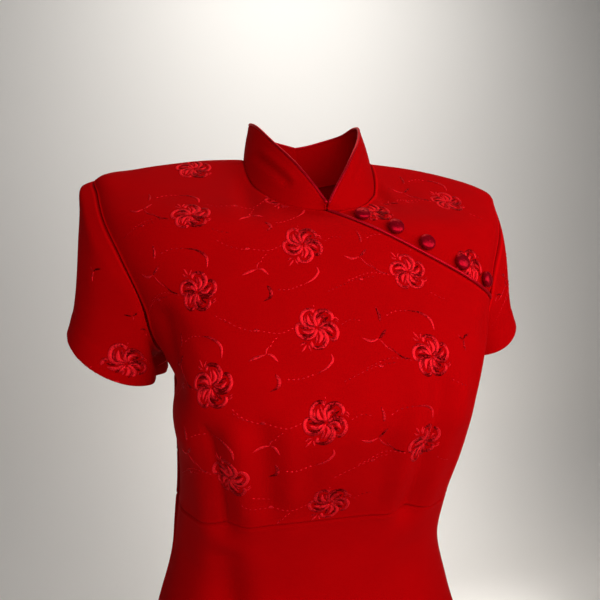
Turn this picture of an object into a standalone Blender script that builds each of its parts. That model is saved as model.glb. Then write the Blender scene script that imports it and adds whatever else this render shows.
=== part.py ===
"""Knee-length cheongsam dress with short set-in sleeves, in its worn, hollow form.

Metres, +Z up. -Y is the front and +X is the wearer's left. The origin lies midway
between the two points where the shoulder seams meet the collar.

Every panel is cut from one form: level rings from the neck to the hem, each ring a
superellipse with its own front, back and squareness. A panel is a patch of that form
between its seams, with a wall of even thickness on the inner side.
"""

from collections import namedtuple
import math

import bmesh
import bpy
import numpy as np

# Cloth and seams
WALL = 0.0014
COLLAR_WALL = 0.0018
SEAM_GAP = 0.0003
TUCK_GAP = 0.0006

# The form, from the neck to the hem
Level = namedtuple("Level", "name z half_width side_y front_y back_y front_power back_power")
LEVELS = (
    Level("neck point", 0.000, 0.0676, 0.000, -0.002, 0.005, 3.0, 3.0),
    Level("inner shoulder", -0.005, 0.1200, 0.001, -0.010, 0.024, 4.0, 3.6),
    Level("outer shoulder", -0.015, 0.1690, 0.002, -0.020, 0.044, 4.5, 4.0),
    Level("shoulder tip", -0.029, 0.2070, 0.002, -0.035, 0.058, 4.5, 4.0),
    Level("collar pit", -0.048, 0.2070, -0.001, -0.059, 0.070, 4.0, 3.6),
    Level("upper chest", -0.076, 0.2000, -0.008, -0.096, 0.078, 3.3, 3.2),
    Level("mid armhole", -0.114, 0.1860, -0.013, -0.116, 0.082, 3.0, 3.0),
    Level("lower armhole", -0.155, 0.1720, -0.016, -0.134, 0.082, 3.1, 2.8),
    Level("underarm", -0.195, 0.1550, -0.018, -0.152, 0.080, 3.4, 2.7),
    Level("bust", -0.235, 0.1390, -0.021, -0.159, 0.076, 3.5, 2.6),
    Level("under bust", -0.283, 0.1355, -0.024, -0.141, 0.069, 3.2, 2.5),
    Level("waist seam", -0.332, 0.1310, -0.025, -0.119, 0.064, 2.8, 2.4),
    Level("belly", -0.385, 0.1325, -0.021, -0.109, 0.082, 2.2, 2.3),
    Level("upper hip", -0.440, 0.1465, -0.016, -0.114, 0.099, 2.1, 2.3),
    Level("hip", -0.500, 0.1630, -0.012, -0.120, 0.109, 2.2, 2.3),
    Level("full hip", -0.570, 0.1700, -0.010, -0.125, 0.112, 2.2, 2.3),
    Level("thigh", -0.660, 0.1710, -0.010, -0.124, 0.109, 2.2, 2.3),
    Level("lower thigh", -0.760, 0.1680, -0.010, -0.120, 0.103, 2.2, 2.3),
    Level("above knee", -0.860, 0.1650, -0.010, -0.117, 0.098, 2.2, 2.3),
    Level("hem", -0.960, 0.1630, -0.010, -0.115, 0.095, 2.2, 2.3),
)
WAIST_HEIGHT = -0.332
WAIST_FRONT_RISE = 0.009

# Soft troughs in the cloth, each from an upper to a lower point
Fold = namedtuple("Fold", "name front x1 z1 x2 z2 width depth")
FOLDS = (
    Fold("drag under right arm", True, -0.128, -0.168, -0.108, -0.222, 0.011, 0.0030),
    Fold("right waist dart", True, -0.112, -0.230, -0.088, -0.345, 0.011, 0.0022),
    Fold("below right bust", True, -0.072, -0.228, -0.052, -0.315, 0.014, 0.0025),
    Fold("left waist dart", True, 0.058, -0.225, 0.070, -0.350, 0.012, 0.0025),
    Fold("below left bust", True, 0.096, -0.240, 0.092, -0.310, 0.013, 0.0018),
    Fold("drag under left arm", True, 0.124, -0.185, 0.106, -0.238, 0.011, 0.0022),
    Fold("skirt front right", True, -0.086, -0.350, -0.082, -0.440, 0.014, 0.0022),
    Fold("skirt front left", True, 0.070, -0.350, 0.074, -0.430, 0.014, 0.0022),
    Fold("back right dart", False, -0.074, -0.225, -0.070, -0.425, 0.012, 0.0025),
    Fold("back left dart", False, 0.074, -0.220, 0.070, -0.430, 0.012, 0.0025),
    Fold("back drag right", False, -0.118, -0.175, -0.092, -0.235, 0.012, 0.0022),
    Fold("back drag left", False, 0.120, -0.180, 0.096, -0.230, 0.012, 0.0020),
)
FOLD_END = 0.018

# Neckline and collar
NECK_HALF_WIDTH = 0.0676
NECK_FRONT_DROP = 0.062
NECK_BACK_DROP = 0.015
NECK_FRONT_POWER = 2.35
NECK_BACK_POWER = 2.2
Edge = namedtuple("Edge", "share x y z")
COLLAR_EDGE = (
    Edge(0.00, 0.0018, -0.0850, -0.0570),
    Edge(0.13, 0.0125, -0.0800, -0.0390),
    Edge(0.27, 0.0270, -0.0710, -0.0180),
    Edge(0.41, 0.0425, -0.0530, 0.0040),
    Edge(0.55, 0.0540, -0.0270, 0.0260),
    Edge(0.68, 0.0575, 0.0020, 0.0370),
    Edge(0.84, 0.0450, 0.0300, 0.0350),
    Edge(1.00, 0.0000, 0.0460, 0.0300),
)
COLLAR_END_GAP = 0.0018
COLLAR_LEAN = 0.0040

# Armholes and sleeves
ARMHOLE_TOP = -0.029
ARMHOLE_BOTTOM = -0.192
ARMHOLE_DEPTH = 0.057
ARMHOLE_SCOOP = 0.25
SLEEVE_GAP = 0.0010
TIP_GAP = 0.0010
Hem = namedtuple("Hem", "side x y z half_width puff flare square lift")
RIGHT, LEFT = -1, 1
SLEEVE_HEMS = {
    "sleeve_right": Hem(RIGHT, 0.1940, -0.002, -0.199, 0.0425, 0.150, 0.36, 0.0052, 0.007),
    "sleeve_left": Hem(LEFT, 0.1930, -0.002, -0.183, 0.0400, 0.045, 0.62, 0.0, 0.0),
}
HEM_HALF_DEPTH = 0.062
HEM_TILT = 0.021
HEM_DIP = 0.013

# How a sleeve leaves the armhole and comes down to its hem, as shares of its length
SLEEVE_SPREAD = 0.15
SLEEVE_FULLNESS = 0.25
CAP_LIFT = 0.90
UNDERARM_REACH = 0.30
HEM_REACH = 0.30
CAP_HEM_REACH = 0.08
CAP_PLACE = 0.18
CAP_LENGTH = 0.11
CAP_OUT = 0.80
CAP_UP = 0.60

# The diagonal opening, from the pit of the collar to the left armhole
Point = namedtuple("Point", "x z")
PLACKET = (
    Point(0.000, -0.062),
    Point(0.040, -0.081),
    Point(0.080, -0.102),
    Point(0.120, -0.122),
    Point(0.148, -0.136),
)
LAP = 0.012
LAP_START = 0.25
LAP_STEP = 0.9
LAP_FLAT = 0.003
LAP_BLEND = 0.012
PIPING_RADIUS = 0.0013

# Buttons
BUTTON_RADIUS = 0.0075
BUTTON_HEIGHT = 0.0055
BUTTON_RISE = 0.0115
BUTTON_STAND = 0.0007
BUTTON_SHARES = (0.148, 0.303, 0.458, 0.644, 0.826)

# Skirt vents
VENT_TOP = -0.800
VENT_SPREAD = 0.008

# Inner core from which points are moved out onto the form
CORE_TOP = -0.090
CORE_MARGIN = 0.080

# How the worn dress sits a little uneven on the wearer
LEFT_SHOULDER_LIFT = 0.0048
RIGHT_SHOULDER_LIFT = 0.0013
LEFT_TIP_DROP = 0.0012
RIGHT_TIP_LIFT = 0.0024
RIGHT_UNDERARM_PULL = 0.0090
HIP_SWAY = 0.0088
LEFT_SIDE_DRAW = 0.0014
LEFT_HIP_DRAW = 0.0015

# Fineness of the curves and the mesh
TABLE_STEPS = 40
CURVE_STEPS = 8
HALVINGS = 40
FARTHEST = 3.0
SLOPE_STEP = 0.00002
RELAX_STEPS = 60
SHOULDER_STEPS = 6
ARMHOLE_STEPS = 14
OPENING_STEP = 9
SIDE_STEPS = 7
NECK_STEPS = 10
PLACKET_STEPS = 16
SLEEVE_STEPS = 8
SKIRT_ROWS = 12
SKIRT_COLUMNS = 22
COLLAR_ROWS = 3
BUTTON_SIDES = 16
BUTTON_RINGS = 4
PIPING_SIDES = 6
PIPING_UPRIGHT = (0.3, 0.2, 1.0)
SHARP_DEGREES = 50

CLOTH_RED = (0.42, 0.003, 0.010)
SATIN_RED = (0.36, 0.003, 0.012)
CLOTH_ROUGHNESS = 0.75
SATIN_ROUGHNESS = 0.35


def smooth(values, place):
    """Reads a Catmull-Rom curve through values, one at each whole number, at place."""
    values = np.asarray(values, float)
    place = np.asarray(place, float)
    first = np.clip(np.floor(place).astype(int), 0, len(values) - 2)
    part = place - first
    ends = [2 * values[0] - values[1]], [2 * values[-1] - values[-2]]
    padded = np.concatenate([ends[0], values, ends[1]])
    before, start, end, after = (padded[first + step] for step in range(4))
    slope = end - before
    bend = 2 * before - 5 * start + 4 * end - after
    twist = 3 * start - before - 3 * end + after
    return start + 0.5 * (slope * part + bend * part**2 + twist * part**3)


def rise(values, start, end):
    """0 up to start, 1 from end on, and a soft step between them."""
    share = np.clip((values - start) / (end - start), 0, 1)
    return share**2 * (3 - 2 * share)


def settled(points):
    """Points of the even form, moved to where the worn dress sits.

    The wearer's left shoulder and collar stand higher, the right shoulder tip is a little
    square, the right underarm is pulled in, the skirt sways to the right and the left side
    is drawn in.
    """
    x, y, z = np.moveaxis(points, -1, 0)
    out = rise(np.abs(x), 0.12, 0.19)
    tip = rise(np.abs(x), 0.172, 0.205)
    left = rise(x, 0.0, 0.045)
    right = rise(-x, 0.03, 0.08)
    high = np.clip((z + 0.040 + 0.060 * out) / (0.036 + 0.034 * out), 0, 1)
    lift = left * (LEFT_SHOULDER_LIFT - LEFT_TIP_DROP * tip)
    lift = lift + right * (RIGHT_SHOULDER_LIFT + RIGHT_TIP_LIFT * tip)
    hip = rise(z, -0.60, -0.44) * rise(-z, 0.27, 0.372)
    side = rise(z, -0.36, -0.28) * rise(-z, 0.16, 0.20)
    sway = -HIP_SWAY * hip * rise(-x, 0.01, 0.12)
    draw = -(LEFT_SIDE_DRAW * side + LEFT_HIP_DRAW * hip) * rise(x, 0.02, 0.12)
    low = rise(z, -0.245, -0.205) * rise(-z, 0.105, 0.155)
    pull = RIGHT_UNDERARM_PULL * low * rise(-x, 0.10, 0.15) * (1 - rise(-x, 0.165, 0.225))
    lifted = z + lift * high**2 * (3 - 2 * high)
    return np.stack([x + sway + draw + pull, y, lifted], axis=-1)


def column(name, place):
    return smooth([getattr(level, name) for level in LEVELS], place)


HEIGHT_PLACES = np.linspace(0, len(LEVELS) - 1, TABLE_STEPS * len(LEVELS))
HEIGHTS = column("z", HEIGHT_PLACES)


def place_of(z):
    """The place on the form, counted in levels, at height z."""
    return np.interp(-np.asarray(z, float), -HEIGHTS, HEIGHT_PLACES)


def height_values(z):
    """The form's half width, side line, front, back and squareness at height z."""
    place = place_of(z)
    names = ("half_width", "side_y", "front_y", "back_y", "front_power", "back_power")
    return [column(name, place) for name in names]


def at_height(x, z, front):
    """Points of the form at x and height z, on the front or the back."""
    half_width, side_y, front_y, back_y, front_power, back_power = height_values(z)
    power = front_power if front else back_power
    across = np.clip(np.abs(x) / half_width, 0, 1)
    reach = (front_y if front else back_y) - side_y
    return np.stack([x, side_y + reach * (1 - across**power) ** (1 / power), z], axis=-1)


def at_side(side, y, z, front):
    """Points of the form at y and height z, on one side."""
    half_width, side_y, front_y, back_y, front_power, back_power = height_values(z)
    power = front_power if front else back_power
    depth = np.clip((y - side_y) / ((front_y if front else back_y) - side_y), 0, 1)
    return np.stack([side * half_width * (1 - depth**power) ** (1 / power), y, z], axis=-1)


def around(turn, place):
    """Points round a level. turn is 0 at +X, 90 degrees at the back and 270 at the front."""
    front = np.sin(turn) < 0
    power = np.where(front, column("front_power", place), column("back_power", place))
    side_y = column("side_y", place)
    reach = np.where(front, side_y - column("front_y", place), column("back_y", place) - side_y)
    far = (np.abs(np.cos(turn)) ** power + np.abs(np.sin(turn)) ** power) ** (1 / power)
    x = column("half_width", place) * np.cos(turn) / far
    return np.stack([x, side_y + reach * np.sin(turn) / far, column("z", place) + 0 * x], axis=-1)


def outside(points):
    """Above 0 where a point is outside the form, and below 0 inside it."""
    x, y, z = np.moveaxis(points, -1, 0)
    half_width, side_y, front_y, back_y, front_power, back_power = height_values(np.minimum(z, 0))
    front = y < side_y
    power = np.where(front, front_power, back_power)
    depth = np.where(front, (y - side_y) / (front_y - side_y), (y - side_y) / (back_y - side_y))
    value = (np.abs(x) / half_width) ** power + np.abs(depth) ** power - 1
    return np.where(z > 0, 1 + z, value)


def onto_form(points):
    """Moves points straight out from the middle of the body, or back, onto the form."""
    x, y, z = np.moveaxis(points, -1, 0)
    core_z = np.minimum(z, CORE_TOP)
    half_width, side_y = height_values(core_z)[:2]
    reach = half_width - CORE_MARGIN
    core = np.stack([np.clip(x, -reach, reach), side_y, core_z], axis=-1)
    away = points - core
    low = np.zeros(x.shape)
    high = np.full(x.shape, FARTHEST)
    for _ in range(HALVINGS):
        middle = (low + high) / 2
        beyond = outside(core + middle[..., None] * away) > 0
        high = np.where(beyond, middle, high)
        low = np.where(beyond, low, middle)
    return core + low[..., None] * away


def grid_normals(grid, closed=False):
    """Unit normals of a grid of points, facing out when rows run down and columns run to +X in front."""
    if closed:
        across = np.roll(grid, -1, axis=1) - np.roll(grid, 1, axis=1)
    else:
        across = np.gradient(grid, axis=1)
    normal = np.cross(np.gradient(grid, axis=0), across)
    return normal / np.linalg.norm(normal, axis=-1, keepdims=True)


def form_normals(points):
    """Outward unit normals of the form at points on it, from the slope of outside."""
    moves = SLOPE_STEP * np.eye(3)
    slope = [outside(points + move) - outside(points - move) for move in moves]
    slope[2] = outside(points) - outside(points - moves[2])
    slope[2] *= 2
    normal = np.stack(slope, axis=-1)
    return normal / np.linalg.norm(normal, axis=-1, keepdims=True)


def resampled(curve, steps):
    """The same curve with evenly spaced points, as many steps as asked."""
    gaps = np.linalg.norm(np.diff(curve, axis=0), axis=1)
    along = np.concatenate([[0], np.cumsum(gaps)])
    wanted = np.linspace(0, along[-1], steps + 1)
    return np.stack([np.interp(wanted, along, curve[:, k]) for k in range(3)], axis=-1)


def seam_line(side, top, bottom, steps):
    """The stretch of the shoulder seam or the side seam between two places."""
    places = np.linspace(top, bottom, CURVE_STEPS * steps + 1)
    return resampled(around(np.full(len(places), math.pi if side == RIGHT else 0.0), places), steps)


def neckline(side, front, steps=NECK_STEPS):
    """The neckline on one side, from the shoulder seam to the centre."""
    angle = np.linspace(0, math.pi / 2, CURVE_STEPS * steps + 1)
    power = NECK_FRONT_POWER if front else NECK_BACK_POWER
    drop = NECK_FRONT_DROP if front else NECK_BACK_DROP
    x = side * NECK_HALF_WIDTH * np.clip(np.cos(angle), 0, 1) ** (2 / power)
    line = at_height(x, -drop * np.sin(angle) ** (2 / power), front)
    line[0] = side * NECK_HALF_WIDTH, 0, 0
    return resampled(line, steps)


def armhole(side, front, steps=ARMHOLE_STEPS):
    """Half of an armhole, from the shoulder tip to the underarm point."""
    angle = np.linspace(0, math.pi, steps + 1)
    middle = (ARMHOLE_TOP + ARMHOLE_BOTTOM) / 2
    z = middle + (ARMHOLE_TOP - middle) * np.cos(angle)
    forward = ARMHOLE_DEPTH * np.sin(angle) * (1 - ARMHOLE_SCOOP * np.cos(angle))
    y = column("side_y", place_of(z)) + (-forward if front else forward)
    return at_side(side, y, z, front)


def placket(steps=PLACKET_STEPS):
    """The edge of the front over the diagonal opening, from the pit to the left armhole."""
    end = armhole(LEFT, True)[OPENING_STEP]
    along = np.linspace(0, len(PLACKET), CURVE_STEPS * steps + 1)
    line = at_height(
        smooth([point.x for point in PLACKET] + [end[0]], along),
        smooth([point.z for point in PLACKET] + [end[2]], along),
        True,
    )
    line[-1] = end
    return resampled(line, steps)


def patch(top, bottom, left, right):
    """A transfinite grid of points between four edges that share their corners, put on the form."""
    across = np.linspace(0, 1, len(top))[None, :, None]
    down = np.linspace(0, 1, len(left))[:, None, None]
    rows = (1 - down) * top[None] + down * bottom[None]
    columns = (1 - across) * left[:, None] + across * right[:, None]
    corners = (1 - down) * ((1 - across) * top[0] + across * top[-1])
    corners = corners + down * ((1 - across) * bottom[0] + across * bottom[-1])
    grid = rows + columns - corners
    grid[1:-1, 1:-1] = onto_form(grid[1:-1, 1:-1])
    for _ in range(RELAX_STEPS):
        beside = grid[1:-1, :-2] + grid[1:-1, 2:]
        above_below = grid[:-2, 1:-1] + grid[2:, 1:-1]
        grid[1:-1, 1:-1] = onto_form((beside + above_below) / 4)
    return grid


def folded(points):
    """The points sunk along the form's normals where the folds run."""
    x, y, z = np.moveaxis(points, -1, 0)
    front = y < height_values(z)[1]
    sunk = np.zeros(x.shape)
    for fold in FOLDS:
        run = np.array([fold.x2 - fold.x1, fold.z2 - fold.z1])
        length = np.linalg.norm(run)
        along = ((x - fold.x1) * run[0] + (z - fold.z1) * run[1]) / length
        aside = ((x - fold.x1) * run[1] - (z - fold.z1) * run[0]) / length
        beyond = np.maximum(np.abs(along - length / 2) - length / 2 + FOLD_END, 0)
        shape = np.exp(-((aside / fold.width) ** 2) - (beyond / FOLD_END) ** 2 * 2)
        sunk += np.where(front == fold.front, fold.depth * shape, 0)
    return points - sunk[..., None] * form_normals(points)


def joined(*curves):
    """Joins curves that meet end to end into one."""
    return np.concatenate([curves[0]] + [curve[1:] for curve in curves[1:]])


def drawn_in(grid, sides, gap=SEAM_GAP / 2):
    """Pulls the named edges of a grid of points back from their seams by gap."""
    grid = grid.copy()
    edges = {
        "top": ((0, slice(None)), (1, slice(None))),
        "bottom": ((-1, slice(None)), (-2, slice(None))),
        "left": ((slice(None), 0), (slice(None), 1)),
        "right": ((slice(None), -1), (slice(None), -2)),
    }
    moves = []
    for side in sides:
        edge, inner = edges[side]
        inward = grid[inner] - grid[edge]
        moves.append((edge, gap * inward / np.linalg.norm(inward, axis=-1, keepdims=True)))
    for edge, move in moves:
        grid[edge] += move
    return grid


def cloth(name, red, outer, inner, closed=False):
    """Makes the closed wall between two grids of points, a tube if closed."""
    rows, columns = outer.shape[:2]
    spans = columns if closed else columns - 1
    mesh = bmesh.new()
    layers = [
        [[mesh.verts.new(point) for point in row] for row in grid] for grid in (outer, inner)
    ]
    for row in range(rows - 1):
        for start in range(spans):
            end = (start + 1) % columns
            corners = ((row, start), (row + 1, start), (row + 1, end), (row, end))
            mesh.faces.new([layers[0][r][c] for r, c in corners])
            mesh.faces.new([layers[1][r][c] for r, c in reversed(corners)])
    for start in range(spans):
        end = (start + 1) % columns
        for row in (0, rows - 1):
            near, far = layers[0][row], layers[1][row]
            mesh.faces.new((near[start], near[end], far[end], far[start]))
    if not closed:
        for row in range(rows - 1):
            for edge in (0, columns - 1):
                near, far = layers[0], layers[1]
                mesh.faces.new(
                    (near[row][edge], near[row + 1][edge], far[row + 1][edge], far[row][edge])
                )
    return finished(name, red, mesh)


def finished(name, red, mesh):
    """Turns the faces of a bmesh outwards and makes its object, smooth and in its own material."""
    places = settled(np.array([vert.co for vert in mesh.verts]))
    for vert, place in zip(mesh.verts, places):
        vert.co = place
    bmesh.ops.recalc_face_normals(mesh, faces=mesh.faces)
    data = bpy.data.meshes.new(name)
    mesh.to_mesh(data)
    mesh.free()
    data.shade_smooth()
    data.set_sharp_from_angle(angle=math.radians(SHARP_DEGREES))
    data.materials.append(material(name, red))
    made = bpy.data.objects.new(name, data)
    bpy.context.scene.collection.objects.link(made)
    return made


def material(name, red):
    """A Principled material: satin is smoother than the crepe of the panels."""
    made = bpy.data.materials.new(name)
    made.use_nodes = True
    shader = made.node_tree.nodes["Principled BSDF"]
    shader.inputs["Base Color"].default_value = (*red, 1)
    roughness = SATIN_ROUGHNESS if red == SATIN_RED else CLOTH_ROUGHNESS
    shader.inputs["Roughness"].default_value = roughness
    return made


def panel(name, outer, sides):
    """A panel of the form from a grid of its points, drawn in at the named seams."""
    normal = form_normals(outer)
    outer = folded(outer)
    return cloth(name, CLOTH_RED, drawn_in(outer, sides), drawn_in(outer - WALL * normal, sides))


WAIST = float(place_of(WAIST_HEIGHT))
TIP = float(place_of(ARMHOLE_TOP))
UNDERARM = float(place_of(ARMHOLE_BOTTOM))
HEM = len(LEVELS) - 1


def side_edge(side, front):
    """A bodice panel's whole side: shoulder seam, armhole and side seam."""
    shoulder = seam_line(side, 0, TIP, SHOULDER_STEPS)
    return joined(shoulder, armhole(side, front), seam_line(side, UNDERARM, WAIST, SIDE_STEPS))


def waist_place(turn):
    """The place of the waist seam, which rises a little towards the centre front."""
    return place_of(WAIST_HEIGHT + WAIST_FRONT_RISE * np.maximum(-np.sin(turn), 0) ** 2)


def waist_line(front, steps):
    """The waist seam from the wearer's right to the left."""
    half_turn = math.pi if front else -math.pi
    turns = np.linspace(math.pi, math.pi + half_turn, CURVE_STEPS * steps + 1)
    return resampled(around(turns, waist_place(turns)), steps)


def build_bodice_front():
    top = joined(neckline(RIGHT, True), placket())
    below = armhole(LEFT, True)[OPENING_STEP:]
    right = joined(
        resampled(below, SHOULDER_STEPS + ARMHOLE_STEPS),
        seam_line(LEFT, UNDERARM, WAIST, SIDE_STEPS),
    )
    grid = patch(top, waist_line(True, len(top) - 1), side_edge(RIGHT, True), right)
    return panel("bodice_front", grid, ("top", "bottom", "left", "right"))


def build_bodice_back():
    top = joined(neckline(RIGHT, False), neckline(LEFT, False)[::-1])
    bottom = waist_line(False, len(top) - 1)
    grid = patch(top, bottom, side_edge(RIGHT, False), side_edge(LEFT, False))
    return panel("bodice_back", grid, ("top", "bottom", "left", "right"))


def lap_line():
    """The lower edge of the shoulder piece, tucked under the front below the placket."""
    line = placket()
    below = armhole(LEFT, True)
    end = below[OPENING_STEP] + LAP_STEP * (below[OPENING_STEP + 1] - below[OPENING_STEP])
    share = np.linspace(0, 1, len(line))
    lap = LAP * np.clip(share / LAP_START, 0, 1)
    lowered = at_height(line[:, 0], line[:, 2] - lap, True)
    return onto_form(lowered + share[:, None] ** 3 * (end - lowered[-1]))


def tuck(points):
    """How far the shoulder piece sinks below the form, by its distance above the placket."""
    line = placket(4 * PLACKET_STEPS)
    gap = np.linalg.norm(points[..., None, :] - line, axis=-1)
    above = points[..., 2] > line[np.argmin(gap, axis=-1), 2]
    distance = np.where(above, np.min(gap, axis=-1), 0)
    share = np.clip(1 - (distance - LAP_FLAT) / LAP_BLEND, 0, 1)
    return (WALL + TUCK_GAP) * share**2 * (3 - 2 * share)


def build_bodice_shoulder():
    upper = patch(
        resampled(seam_line(LEFT, 0, TIP, SHOULDER_STEPS), PLACKET_STEPS),
        placket(),
        neckline(LEFT, True),
        resampled(armhole(LEFT, True)[: OPENING_STEP + 1], NECK_STEPS),
    )
    lap = lap_line()
    grid = np.concatenate([upper, onto_form((upper[-1:] + lap) / 2), lap[None]])
    normal = form_normals(grid)
    outer = grid - tuck(grid)[..., None] * normal
    inner = outer - WALL * normal
    sides = ("top", "left", "right")
    return cloth("bodice_shoulder", CLOTH_RED, drawn_in(outer, sides), drawn_in(inner, sides))


def build_skirt(name, front):
    """A skirt panel, parted from the other along the side vents."""
    places = np.linspace(WAIST, HEM, SKIRT_ROWS + 1)
    vent = np.clip((VENT_TOP - column("z", places)) / (VENT_TOP - LEVELS[-1].z), 0, 1)
    spread = VENT_SPREAD * vent / LEVELS[-1].half_width
    half_turn = math.pi if front else -math.pi
    share = np.linspace(0, 1, SKIRT_COLUMNS + 1)
    start = math.pi + spread * np.sign(half_turn)
    turn = start[:, None] + (half_turn - 2 * spread * np.sign(half_turn))[:, None] * share
    rise = waist_place(turn[0]) - WAIST
    down = (HEM - places[:, None]) / (HEM - WAIST)
    grid = around(turn, places[:, None] + rise * down)
    return panel(name, grid, ("top", "left", "right"))


def sleeve_rings(side, centre, steps=SLEEVE_STEPS):
    """Rings of points from the armhole to the sleeve hem."""
    seam = np.concatenate([armhole(side, True)[:-1], armhole(side, False)[:0:-1]])
    angle = np.linspace(0, 2 * math.pi, len(seam), endpoint=False)
    over = ((1 + np.cos(angle)) / 2) ** 2
    hem = np.stack(
        [
            side * (centre.x + centre.half_width * np.cos(angle)),
            centre.y - HEM_HALF_DEPTH * np.sin(angle),
            centre.z
            + HEM_TILT * np.cos(angle)
            - HEM_DIP * np.sin(angle) ** 2
            + centre.lift * over,
        ],
        axis=-1,
    )
    length = np.linalg.norm(hem - seam, axis=1)[:, None]
    spread = -SLEEVE_FULLNESS * np.sin(angle) * (1 - over)
    outward = np.stack([side * (over + SLEEVE_SPREAD), spread, CAP_LIFT * over - 1], axis=-1)
    outward /= np.linalg.norm(outward, axis=1)[:, None]
    downward = np.stack([side * centre.flare * over, 0 * over, 0 * over - 1], axis=-1)
    downward /= np.linalg.norm(downward, axis=1)[:, None]
    along = np.roll(seam, -1, axis=0) - np.roll(seam, 1, axis=0)
    along /= np.linalg.norm(along, axis=1)[:, None]
    leaving = outward - along * np.sum(outward * along, axis=1)[:, None]
    leaving /= np.linalg.norm(leaving, axis=1)[:, None]
    body = side * np.cross(form_normals(seam), along)
    apart = leaving - body
    apart /= np.linalg.norm(apart, axis=1)[:, None]
    start = seam + (SLEEVE_GAP + TIP_GAP * over[:, None]) * apart
    leave = centre.puff * over + UNDERARM_REACH * (1 - over)
    first = start + outward * length * leave[:, None]
    last = hem - downward * length * (HEM_REACH + CAP_HEM_REACH * over[:, None])
    share = np.linspace(0, 1, steps + 1)[:, None, None]
    rings = (1 - share) ** 3 * start + 3 * (1 - share) ** 2 * share * first
    rings = rings + 3 * (1 - share) * share**2 * last + share**3 * hem
    swell = np.exp(-(((share - CAP_PLACE) / CAP_LENGTH) ** 2)) * np.clip(share / CAP_PLACE, 0, 1)
    return rings + centre.square * swell * over[:, None] * np.array([side * CAP_OUT, 0, CAP_UP])


def build_sleeve(name):
    centre = SLEEVE_HEMS[name]
    outer = sleeve_rings(centre.side, centre)
    normal = grid_normals(outer, True) * -centre.side
    inner = outer - WALL * normal
    return cloth(name, CLOTH_RED, outer, inner, closed=True)


def collar_lines():
    """The collar's lower and upper edges, from the wearer's right end round the back to the left end."""
    half = joined(neckline(RIGHT, True)[::-1], neckline(RIGHT, False))
    gaps = np.linalg.norm(np.diff(half, axis=0), axis=1)
    share = np.concatenate([[0], np.cumsum(gaps)]) / np.sum(gaps)
    place = np.interp(share, [edge.share for edge in COLLAR_EDGE], np.arange(len(COLLAR_EDGE)))
    edge = np.stack([smooth([getattr(row, axis) for row in COLLAR_EDGE], place) for axis in "xyz"], -1)
    edge *= (RIGHT, 1, 1)
    half[0, 0] = RIGHT * COLLAR_END_GAP
    mirror = np.array([-1, 1, 1])
    base = np.concatenate([half, half[-2::-1] * mirror])
    top = np.concatenate([edge, edge[-2::-1] * mirror])
    height = (top[:, 2] - COLLAR_EDGE[0].z) / (COLLAR_EDGE[-1].z - COLLAR_EDGE[0].z)
    top[:, 0] += RIGHT * COLLAR_LEAN * height
    return base, top


def build_collar():
    base, top = collar_lines()
    share = np.linspace(1, 0, COLLAR_ROWS + 1)[:, None, None]
    outer = base + share * (top - base)
    outer = outer + (SEAM_GAP * (top - base) / np.linalg.norm(top - base, axis=-1, keepdims=True))
    inward = grid_normals(outer)
    return cloth("collar", CLOTH_RED, outer, outer + COLLAR_WALL * inward)


def tube(name, path, radius):
    """A round cord along a path of points, with flat ends."""
    ahead = np.gradient(path, axis=0)
    ahead /= np.linalg.norm(ahead, axis=1)[:, None]
    side = np.cross(ahead, PIPING_UPRIGHT)
    side /= np.linalg.norm(side, axis=1)[:, None]
    up = np.cross(side, ahead)
    mesh = bmesh.new()
    rings = []
    for centre, across, over in zip(path, side, up):
        turns = [2 * math.pi * k / PIPING_SIDES for k in range(PIPING_SIDES)]
        spots = [centre + radius * (math.cos(t) * across + math.sin(t) * over) for t in turns]
        rings.append([mesh.verts.new(spot) for spot in spots])
    for start, end in zip(rings, rings[1:]):
        for k in range(PIPING_SIDES):
            after = (k + 1) % PIPING_SIDES
            mesh.faces.new((start[k], start[after], end[after], end[k]))
    mesh.faces.new(rings[0])
    mesh.faces.new(rings[-1])
    return finished(name, SATIN_RED, mesh)


def build_collar_piping():
    base, top = collar_lines()
    rise = top - base
    rise /= np.linalg.norm(rise, axis=1)[:, None]
    inward = grid_normals(np.stack([top, base]))[0]
    path = top + rise * (PIPING_RADIUS + 3 * SEAM_GAP) + inward * COLLAR_WALL / 2
    return tube("collar_piping", path, PIPING_RADIUS)


def build_placket_piping():
    edge = placket(2 * PLACKET_STEPS)
    normal = form_normals(edge)
    ahead = np.gradient(edge, axis=0)
    ahead /= np.linalg.norm(ahead, axis=1)[:, None]
    above = np.cross(normal, ahead)
    path = edge + above * (PIPING_RADIUS + 2 * SEAM_GAP) + normal * 2 * SEAM_GAP
    return tube("placket_piping", path[1:-1], PIPING_RADIUS)


def build_button(number, share):
    """A cloth-covered domed button just above the placket piping."""
    edge = placket(8 * PLACKET_STEPS)
    index = int(round(share * (len(edge) - 1)))
    normal = form_normals(edge[index])
    ahead = edge[min(index + 1, len(edge) - 1)] - edge[index - 1]
    ahead /= np.linalg.norm(ahead)
    above = np.cross(normal, ahead)
    centre = edge[index] + above * BUTTON_RISE + normal * BUTTON_STAND
    mesh = bmesh.new()
    rings = []
    for ring in range(BUTTON_RINGS):
        tilt = 0.5 * math.pi * ring / BUTTON_RINGS
        radius = BUTTON_RADIUS * math.cos(tilt)
        lift = BUTTON_HEIGHT * math.sin(tilt)
        turns = [2 * math.pi * k / BUTTON_SIDES for k in range(BUTTON_SIDES)]
        spots = [
            centre + radius * (math.cos(t) * ahead + math.sin(t) * above) + lift * normal
            for t in turns
        ]
        rings.append([mesh.verts.new(spot) for spot in spots])
    crown = mesh.verts.new(centre + BUTTON_HEIGHT * normal)
    for start, end in zip(rings, rings[1:]):
        for k in range(BUTTON_SIDES):
            after = (k + 1) % BUTTON_SIDES
            mesh.faces.new((start[k], start[after], end[after], end[k]))
    for k in range(BUTTON_SIDES):
        mesh.faces.new((rings[-1][k], rings[-1][(k + 1) % BUTTON_SIDES], crown))
    mesh.faces.new(rings[0])
    return finished(f"button_{number}", SATIN_RED, mesh)


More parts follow.
